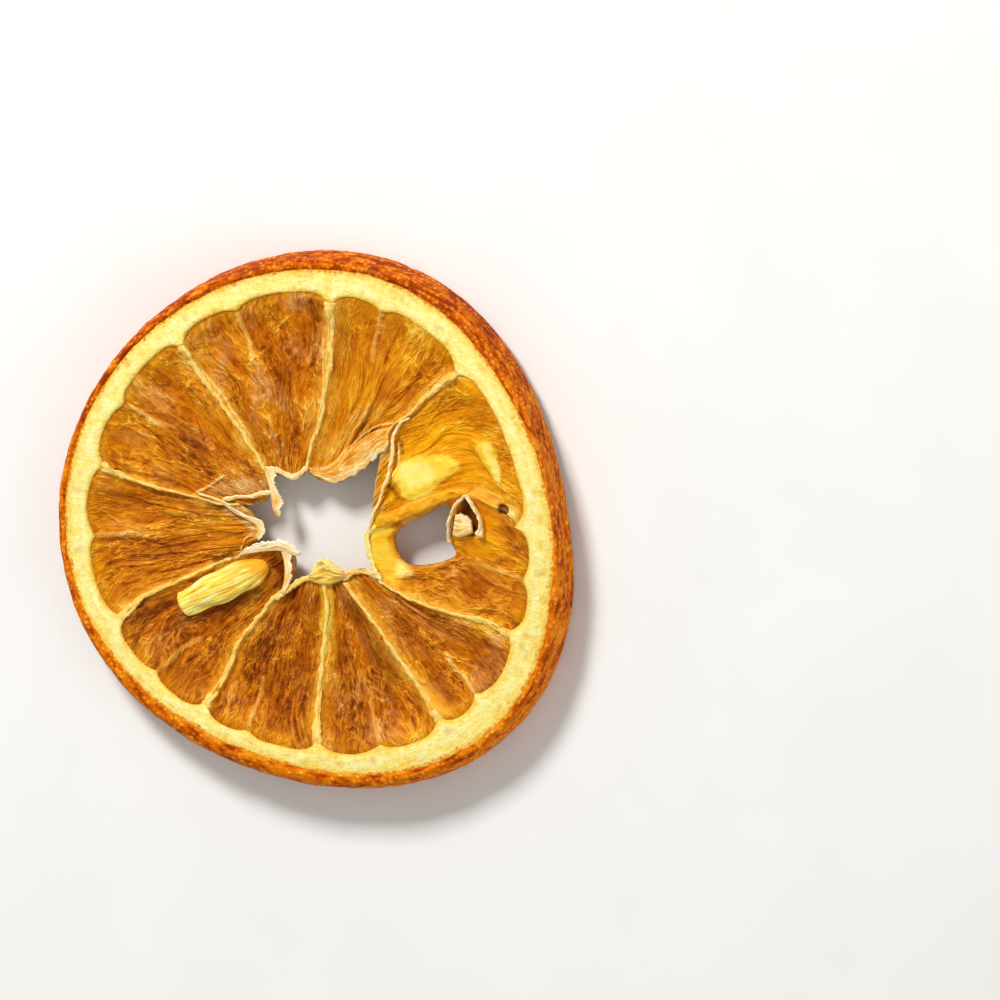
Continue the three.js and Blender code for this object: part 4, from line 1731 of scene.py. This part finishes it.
@dataclass(frozen=True)
class Pip:
    """A pip, blunt at its beak and ridged along its length."""

    name: str
    beak_end: Point
    round_end: Point
    beak: float
    width: float
    thickness: float
    height: float
    widest: float = 0.62
    ridges: int = 9
    ridge_depth: float = 0.12
    wrinkle_depth: float = 0.045
    dent_depth: float = 0.16
    stain_and_shade_share: float = 0.3
    covered: float = 0.0
    segments: int = 144
    rings: int = 110

    def build(self, finish: bpy.types.Material) -> bpy.types.Object:
        """Shapes a sphere into the pip.

        Args:
            finish: The pip's material.

        Returns:
            The finished pip.
        """
        deselect()
        bpy.ops.mesh.primitive_uv_sphere_add(segments=self.segments, ring_count=self.rings, radius=1)
        piece = name_new(self.name)
        seed = name_seed(self.name)
        points = read_points(piece)
        share = np.arccos(np.clip(points[:, 2], -1, 1)) / math.pi
        around = np.arctan2(points[:, 1], points[:, 0])
        rising = lerp(self.beak, 1, np.sin(np.pi / 2 * np.clip(share / self.widest, 0, 1)))
        falling = np.sqrt(np.clip(1 - ((share - self.widest) / (1 - self.widest)) ** 2, 0, 1))
        profile = np.where(share < self.widest, rising, falling)
        profile *= np.sqrt(np.clip(share / 0.04, 0, 1))
        sway = soft_noise(np.column_stack([share * 4, np.cos(around) * 1.5, np.sin(around) * 1.5]), seed)
        flutes = 0.5 + 0.5 * np.cos(self.ridges * around + 1.6 * sway)
        lines = np.column_stack([share * 3, np.cos(around) * 7, np.sin(around) * 7])
        wrinkle = soft_noise(lines, seed + 1)
        swell = 1 - self.ridge_depth * (1 - flutes) + self.wrinkle_depth * wrinkle
        dents = np.column_stack([share * 4, np.cos(around), np.sin(around)])
        swell += self.dent_depth * soft_noise(dents, seed + 2)
        start = np.array(self.beak_end)
        axis = np.array(self.round_end) - start
        length = np.linalg.norm(axis)
        axis = axis / length
        sideways = np.array([-axis[1], axis[0]])
        plan = start + axis * (share * length)[:, None]
        plan = plan + sideways * (self.width / 2 * profile * swell * np.cos(around))[:, None]
        height = self.height + self.thickness / 2 * profile * swell * np.sin(around)
        write_points(piece, np.column_stack([plan, height]))
        paint(piece, "crest", np.clip(0.5 * flutes + 0.35 * wrinkle + 0.35, 0, 1))
        girth = self.width / 2 * profile
        grain = (share * length + seed, np.cos(around) * girth, np.sin(around) * girth)
        paint(piece, "skin_grain", np.column_stack(grain))
        # Painted shade on the pip's underside, with random stains and the skin that covers its round end.
        low = soft_step(0.2, -0.8, np.sin(around) * profile)
        blot = soft_step(0.1, 0.6, soft_noise(points * 1.6, seed + 3))
        film = self.covered * soft_step(0.66, 0.96, share + 0.12 * wrinkle + 0.1 * np.cos(around))
        paint(piece, "stain", np.clip(self.stain_and_shade_share * (low + blot) + film, 0, 1))
        return hand_over(weld([piece]), Slot.PIPS, finish)


@dataclass
class Studio:
    """The plain floor, the soft light and the camera."""

    right: Place = (0.95477, -0.02611, -0.2962)
    up: Place = (-0.02611, 0.98492, -0.17101)
    back: Place = (0.2962, 0.17101, 0.9397)
    aim: Place = (0.387, -0.102, 3.9)
    aim_right: float = 18.6
    aim_up: float = 2.5
    frame_width: float = 99.3
    lens: float = 800.0
    sensor: float = 36.0
    floor_size: float = 3.0
    paper_size: float = 1000 / 60
    paper: Tones = ((0.3, 238, 237, 233), (0.7, 242, 241, 238))
    sky: tuple[float, float, float, float] = (1.0, 0.99, 0.97, 1.0)
    sky_strength: float = 0.42

    def camera(self) -> bpy.types.Object:
        """Puts the camera where the slice is seen at the wanted angle and size."""
        right, up, back = Vector(self.right), Vector(self.up), Vector(self.back)
        target = Vector(self.aim) + right * self.aim_right + up * self.aim_up
        place = (target + back * (self.frame_width * self.lens / self.sensor)) * MM
        data = bpy.data.cameras.new("camera")
        data.lens = self.lens
        data.sensor_width = self.sensor
        data.clip_start = 0.01
        camera = bpy.data.objects.new("camera", data)
        turned = Matrix((right, up, back)).transposed().to_4x4()
        camera.matrix_world = Matrix.Translation(place) @ turned
        bpy.context.scene.collection.objects.link(camera)
        bpy.context.scene.camera = camera
        return camera

    def lamp(self, name: str, towards: Place, power: float, size: float, distance: float) -> None:
        """Hangs one square soft lamp that shines at the slice.

        Args:
            name: The lamp's name.
            towards: The way to it, as shares right, up and back of the camera's view.
            power: Its power in watts.
            size: Its side in metres.
            distance: How far it hangs from the slice, in metres.
        """
        view = (self.right, self.up, self.back)
        way = sum((Vector(axis) * part for axis, part in zip(view, towards)), Vector())
        data = bpy.data.lights.new(name, "AREA")
        data.energy = power
        data.size = size
        lamp = bpy.data.objects.new(name, data)
        lamp.location = way.normalized() * distance
        lamp.rotation_euler = way.to_track_quat("Z", "Y").to_euler()
        bpy.context.scene.collection.objects.link(lamp)

    def build(self) -> None:
        """Sets up the floor, the light and the camera."""
        deselect()
        bpy.ops.mesh.primitive_plane_add(size=self.floor_size, location=(0, 0, 0))
        floor = name_new("floor")
        shader = Shader("floor_paper")
        colour = shader.ramp(shader.cloud(self.paper_size, 2.0), self.paper)
        floor.data.materials.append(shader.dress(colour, 0.9, None, 0.0, {}))
        self.lamp("key", (-0.6, 0.8, 0.85), power=3.0, size=0.12, distance=0.55)
        self.lamp("fill", (0.9, -0.6, 0.7), power=1.5, size=0.6, distance=0.8)
        world = bpy.data.worlds.new("studio")
        world.use_nodes = True
        background = world.node_tree.nodes["Background"]
        background.inputs["Color"].default_value = self.sky
        background.inputs["Strength"].default_value = self.sky_strength
        bpy.context.scene.world = world
        bpy.context.scene.view_settings.view_transform = "Standard"
        self.camera()


@dataclass
class Pulp:
    """The ten segments of pulp."""

    notch_steps: tuple[float, ...] = (0.0, 1.5, 3.2, 5.0)
    notch_bends: tuple[float, ...] = (0.0, 0.3, 0.1, 1.4)
    tones: tuple[SegmentTone, ...] = (
        SegmentTone(0.3, 0.6, 0.0), SegmentTone(0.2, 0.35, 0.1), SegmentTone(-0.1, 0.0, 0.8),
        SegmentTone(-0.05, 0.15, 0.45), SegmentTone(0.05, 0.2, 0.25), SegmentTone(-0.9, 0.05, 0.3),
        SegmentTone(-0.9, 0.0, 0.35), SegmentTone(-0.4, 0.0, 0.75), SegmentTone(-0.1, 0.0, 0.8),
        SegmentTone(-0.2, 0.2, 0.2),
    )
    patches: tuple[Patch, ...] = (
        Patch("pale", 0.8, 1.3, ((0.9, 4.9), (2.1, 4.6), (3.8, 5.2), (5.6, 6.5), (7.0, 7.6))),
        Patch("pale", 0.7, 0.8, ((-9.0, 1.2), (-7.2, 0.3), (-6.0, -0.8))),
        Patch("pale", 0.55, 0.7, ((-10.8, 3.3), (-9.4, 2.7), (-5.2, 3.2), (-5.2, 4.3), (-9.4, 4.0)),
              filled=True),
        Patch("line", 0.9, 0.2, ((-12.2, 2.9), (-11.0, 3.5), (-9.4, 4.6))),
        Patch("line", 0.8, 0.16, ((0.2, 8.6), (1.2, 12.6), (1.4, 15.8), (1.5, 18.6))),
        Patch("line", 0.8, 0.18, ((-6.1, 8.4), (-8.2, 11.3), (-9.2, 12.9), (-11.2, 15.4))),
        Patch("line", 0.9, 0.2, ((-0.4, 5.6), (0.6, 5.4), (2.1, 6.1), (3.5, 7.5), (6.2, 9.7), (8.4, 10.4))),
        Patch("line", 0.8, 0.18, ((8.3, 5.0), (8.9, 6.4), (8.95, 8.2))),
        Patch("skin", 0.6, 1.2, ((0.9, 7.0), (3.4, 9.0), (6.0, 11.2), (9.0, 12.0))),
        Patch("white", 0.9, 0.4, ((8.3, -3.5), (9.9, -4.7), (8.5, -5.0)), filled=True),
        Patch("gold", 1.0, 2.2, ((6.2, -0.6), (6.9, -2.8), (8.0, -5.0))),
        Patch("glow", 0.9, 1.5, ((6.7, 0.4), (6.6, -1.6), (7.0, -3.4), (7.9, -4.6)), 0.5),
        Patch("smooth", 1.0, 1.7, ((6.9, 0.2), (6.9, -2.0), (7.5, -4.2))),
        *patches_on(((8.9, 1.4), (11.5, 2.6), (15.6, 3.6), (18.1, 2.7)), False,
                    gold=(0.9, 1.3), smooth=(0.9, 1.3)),
        Patch("gold", 0.9, 1.6, ((6.0, 3.4), (6.8, 6.4), (8.0, 9.0))),
        *patches_on(PIP_SHAPE, True, glow=(1.0, 0.35), rise=(1.0, 0.9), smooth=(1.0, 0.8)),
        Patch("white", 0.9, 1.6, ((10.3, 5.2), (11.6, 5.5))),
        *patches_on(THIN_PIP_SHAPE, True, glow=(1.0, 0.25), rise=(0.8, 0.5), smooth=(1.0, 0.5)),
        Patch("white", 0.85, 0.6, ((18.3, 8.1), (19.0, 6.8), (19.3, 5.6))),
        # Painted shade in the sunken pits beside the pip hole and in the pinhole.
        *patches_on(((15.2, 2.0), (16.1, 3.0), (17.0, 1.4), (17.0, -0.4), (14.6, -0.6)), True,
                    gloom=(0.95, 0.4), pit=(1.0, 0.5)),
        Patch("gloom", 0.9, 0.66, ((19.85, 2.1), (19.9, 2.1)), 0.7),
        Patch("pit", 1.0, 0.8, ((19.85, 2.1), (19.9, 2.1)), 0.3),
        # Painted shade beside the pips, under the torn skins and along some walls.
        Patch("gloom", 0.6, 0.4, ((7.9, 4.0), (8.7, 3.0))),
        Patch("gloom", 0.5, 0.35, ((9.2, 8.5), (9.3, 7.4))),
        Patch("gloom", 0.8, 0.55, ((-3.6, -4.6), (-3.4, -5.6), (-3.7, -6.5))),
        Patch("gloom", 0.5, 0.6, ((-11.0, 1.5), (-9.2, 1.2), (-7.8, 0.6))),
        Patch("gloom", 0.7, 0.5, ((-8.9, -3.4), (-10.6, -3.9))),
        Patch("gloom", 0.55, 0.9, ((-14.0, -10.2), (-11.0, -9.3), (-8.2, -8.0), (-6.2, -7.2))),
        Patch("gloom", 0.45, 1.2, ((3.4, -8.4), (5.5, -11.6), (8.0, -15.2))),
        Patch("gloom", 0.4, 1.0, ((12.3, -9.6), (17.0, -11.6))),
        Patch("glow", 0.7, 0.9, ((0.9, -5.8), (1.0, -8.4), (0.8, -10.4))),
        Patch("gold", 0.9, 1.6, ((-5.8, -6.6), (-7.8, -7.8), (-6.2, -8.6))),
        Patch("skin", 0.8, 1.2, ((-6.4, -4.2), (-5.0, -5.4), (-6.6, -7.2))),
        Patch("rise", 0.4, 2.3, ((-12.6, -7.9), (-6.0, -4.8))),
        Patch("smooth", 0.6, 2.2, ((-13.4, -8.3), (-6.0, -4.8))),
    )

    def notch_lines(self) -> tuple[Patch, ...]:
        """Returns the fold that runs in from each notch of the pith."""
        lines = []
        for wall in PLAN.walls:
            if wall.notch is not None:
                radii = float(PLAN.inner(np.array(wall.notch))) - np.array(self.notch_steps)
                bend = np.array(self.notch_bends) * (1 if wall.lift > 0 else -1)
                route = rays(wall.notch + bend) * radii[:, None]
                lines.append(Patch("line", 0.45, 0.35, tuple(map(tuple, route.tolist()))))
        return tuple(lines)

    def build(self, finishes: Finishes) -> None:
        """Builds every segment."""
        walls = PLAN.walls
        patches = self.patches + self.notch_lines()
        for number, (start, end) in enumerate(zip(walls, walls[1:] + walls[:1])):
            holed = number in (0, len(walls) - 1)
            segment = Segment(number, start, end, self.tones[number], holed=holed, patches=patches)
            segment.build(finishes.pulp)


@dataclass
class Walls:
    """The dried membranes between the segments, on both faces."""

    share_of_width: float = 0.38
    end_width: float = 0.9
    rise: float = 0.3
    end_rise: float = 0.04
    tuck: float = 0.8

    def build(self, finishes: Finishes) -> None:
        """Lays a string along every wall, above and below."""
        for number, wall in enumerate(PLAN.walls):
            end = (*PLAN.wall_end(wall.angle, self.tuck), self.end_rise)
            route = tuple((x, y, self.rise) for x, y in wall.route)
            upper = (*route, end) if number > 0 else ((*wall.route[-1], 0.0), end)
            width = wall.width * self.share_of_width
            name = f"wall_{number + 1:02d}"
            Strand(f"{name}_under", Membrane.WALL, width, (*route, end), side=Side.UNDER).build(finishes)
            Strand(name, Membrane.WALL, width, upper, end_width=self.end_width).build(finishes)


@dataclass
class TornCore:
    """The strings, torn skins and shreds round the core."""

    strands: tuple[Strand, ...] = (
        Strand("arch", Membrane.AMBER, 1.3, (
            (6.2, -0.2, 0.1), (7.6, 0.7, 0.2), (9.4, 1.45, 0.25), (11.4, 2.25, 0.25), (13.3, 3.1, 0.25),
            (14.8, 3.6, 0.25), (16.4, 3.9, 0.15)), end_width=0.6, height=0.3, ragged=0.06),
        Strand("rim_3", Membrane.SHRED, 0.5, (
            (-5.0, 5.3, 0.25), (-3.8, 5.35, 0.3), (-3.0, 5.0, 0.3), (-2.2, 4.65, 0.3), (-1.5, 4.9, 0.3),
            (-0.6, 5.8, 0.3))),
        Strand("string_4", Membrane.SHRED, 0.35, (
            (-9.6, 2.2, 0.25), (-7.9, 2.55, 0.3), (-6.6, 2.7, 0.35), (-5.4, 3.0, 0.4), (-4.2, 3.0, 0.4)),
            end_width=0.55),
        Strand("loop_5", Membrane.TAN, 0.3, (
            (-6.0, -1.5, 0.25), (-6.9, -1.4, 0.3), (-7.4, -1.9, 0.3), (-7.8, -2.9, 0.2))),
        Strand("link_7", Membrane.WALL, 0.5, (
            (0.2, -5.3, 0.3), (-1.4, -5.7, 0.3), (-2.9, -6.6, 0.3), (-4.4, -7.7, 0.3))),
        Strand("rim_9", Membrane.BEIGE, 0.55, (
            (2.4, -5.6, 0.25), (3.1, -5.1, 0.3), (3.8, -4.7, 0.3), (4.9, -4.6, 0.3), (6.8, -5.0, 0.3))),
        Strand("rim_1", Membrane.SHRED, 0.34, (
            (5.5, -0.9, 0.3), (6.0, 0.6, 0.35), (6.7, 2.2, 0.4), (7.2, 3.5, 0.4), (7.9, 5.3, 0.45),
            (8.35, 7.0, 0.4), (8.4, 8.7, 0.3), (9.0, 10.1, 0.3), (10.4, 11.0, 0.25)), end_width=0.25),
        Strand("rim_10", Membrane.CREAM, 0.5, (
            (5.5, -0.5, 0.25), (5.45, -1.6, 0.3), (5.6, -2.9, 0.3), (6.1, -4.2, 0.3), (6.9, -5.6, 0.25)),
            end_width=0.35, ragged=0.45),
    )
    films: tuple[Film, ...] = (
        Film("flap_2", Membrane.BEIGE,
             ((-0.4, 5.7, 0.3), (0.6, 5.5, 0.3), (2.1, 6.1, 0.3), (3.5, 7.4, 0.3), (6.2, 9.4, 0.3),
              (8.1, 10.0, 0.2)),
             ((-0.3, 5.3, 0.3), (0.3, 4.9, 0.3), (2.0, 4.2, 0.2), (3.8, 4.9, 0.2), (5.8, 6.1, 0.2),
              (8.0, 8.2, 0.2)),
             thickness=0.35, ragged=0.14),
        Film("prong_4", Membrane.SHRED,
             ((-5.2, 5.7, 0.3), (-4.9, 4.6, 0.3), (-4.6, 3.6, 0.35), (-4.45, 2.6, 0.4), (-4.3, 1.5, 0.4),
              (-4.0, 0.6, 0.3)),
             ((-3.9, 5.7, 0.3), (-4.0, 4.7, 0.4), (-3.85, 3.7, 0.45), (-3.3, 2.6, 0.5), (-3.35, 1.5, 0.45),
              (-3.7, 0.6, 0.3)),
             thickness=0.25, ragged=0.3),
        Film("rim_5", Membrane.SHRED,
             ((-12.0, 2.7, 0.25), (-9.8, 1.95, 0.3), (-8.4, 0.95, 0.3), (-7.1, 0.3, 0.3),
              (-6.2, -0.2, 0.35), (-6.0, -0.9, 0.35), (-6.4, -1.7, 0.2)),
             ((-12.0, 2.9, 0.25), (-9.6, 2.2, 0.35), (-8.2, 1.35, 0.4), (-7.0, 0.75, 0.45),
              (-5.5, 0.25, 0.5), (-5.1, -0.8, 0.5), (-5.8, -1.8, 0.3)),
             thickness=0.25, ragged=0.2),
        Film("shred_6", Membrane.WHITE,
             ((-8.0, -3.4, 0.3), (-6.1, -3.0, 0.45), (-4.5, -2.8, 0.5), (-3.2, -2.8, 0.5),
              (-2.2, -3.2, 0.5), (-1.6, -3.2, 0.4)),
             ((-7.9, -3.1, 0.4), (-6.2, -2.1, 0.55), (-4.5, -1.75, 0.6), (-3.0, -1.7, 0.6),
              (-2.2, -2.1, 0.6), (-1.3, -2.8, 0.5)),
             thickness=0.3, ragged=0.25),
        Film("shred_6_down", Membrane.SHRED,
             ((-3.7, -2.4, 0.4), (-3.35, -3.6, 0.35), (-3.25, -4.8, 0.35), (-3.4, -6.0, 0.3),
              (-3.7, -7.1, 0.3)),
             ((-2.6, -2.4, 0.5), (-2.5, -3.6, 0.5), (-2.4, -4.7, 0.5), (-2.7, -6.0, 0.45),
              (-3.4, -7.1, 0.35)),
             thickness=0.25, ragged=0.25),
        Film("knob_8", Membrane.CREAM,
             ((-0.9, -5.7, 0.1), (0.7, -6.1, 0.3), (2.0, -5.9, 0.3), (3.2, -5.3, 0.1)),
             ((-0.5, -4.8, 0.3), (0.5, -3.5, 0.7), (1.4, -3.4, 0.8), (2.9, -4.6, 0.4)),
             thickness=0.5, ragged=0.1, crumple=0.2),
    )

    def build(self, finishes: Finishes) -> None:
        """Builds every string and skin."""
        for part in (*self.strands, *self.films):
            part.build(finishes)


@dataclass
class Pips:
    """The pips dried into the slice, and the husk that one left."""

    whole: Pip = Pip(
        "pip_1", (-14.4, -8.7), (-5.0, -4.2), beak=0.72, width=3.3, thickness=2.1, height=3.25,
        ridges=11, ridge_depth=0.06, covered=0.9,
    )
    husk: tuple[Strand, ...] = (
        Strand("husk_left", Membrane.SHRED, 0.3, (
            (14.1, -1.6, 0.0), (14.0, -0.3, 0.2), (14.2, 1.0, 0.4), (14.9, 2.4, 0.45), (16.1, 3.5, 0.45)),
            height=0.4, slot=Slot.PIPS, ragged=0.2),
        Strand("husk_right", Membrane.SHRED, 0.35, (
            (16.0, 3.6, 0.45), (16.7, 2.6, 0.45), (17.3, 1.5, 0.4), (17.5, 0.4, 0.3), (17.3, -0.9, 0.1)),
            end_width=0.75, height=0.4, slot=Slot.PIPS, ragged=0.25),
    )
    scrap: Film = Film(
        "pip_scrap", Membrane.SHRED,
        ((14.4, -0.7, 0.1), (15.0, -0.9, 0.2), (15.9, -0.7, 0.2), (16.6, -0.4, 0.1)),
        ((14.9, 1.5, 0.35), (15.4, 1.5, 0.4), (16.0, 1.4, 0.4), (16.5, 0.9, 0.3)),
        thickness=0.5, slot=Slot.PIPS, ragged=0.15,
    )

    def build(self, finishes: Finishes) -> None:
        """Builds the whole pip, the husk and the scrap in it."""
        self.whole.build(finishes.pip)
        for part in (*self.husk, self.scrap):
            part.build(finishes)


def main() -> None:
    """Builds the slice piece by piece and sets up the studio."""
    logging.basicConfig(level=logging.INFO, format="%(message)s")
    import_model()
    Studio().build()
    finishes = Finishes.build()
    Peel().build(finishes.peel)
    Pith().build(finishes.pith)
    Pulp().build(finishes)
    Walls().build(finishes)
    TornCore().build(finishes)
    Pips().build(finishes)


if __name__ == "__main__":
    main()
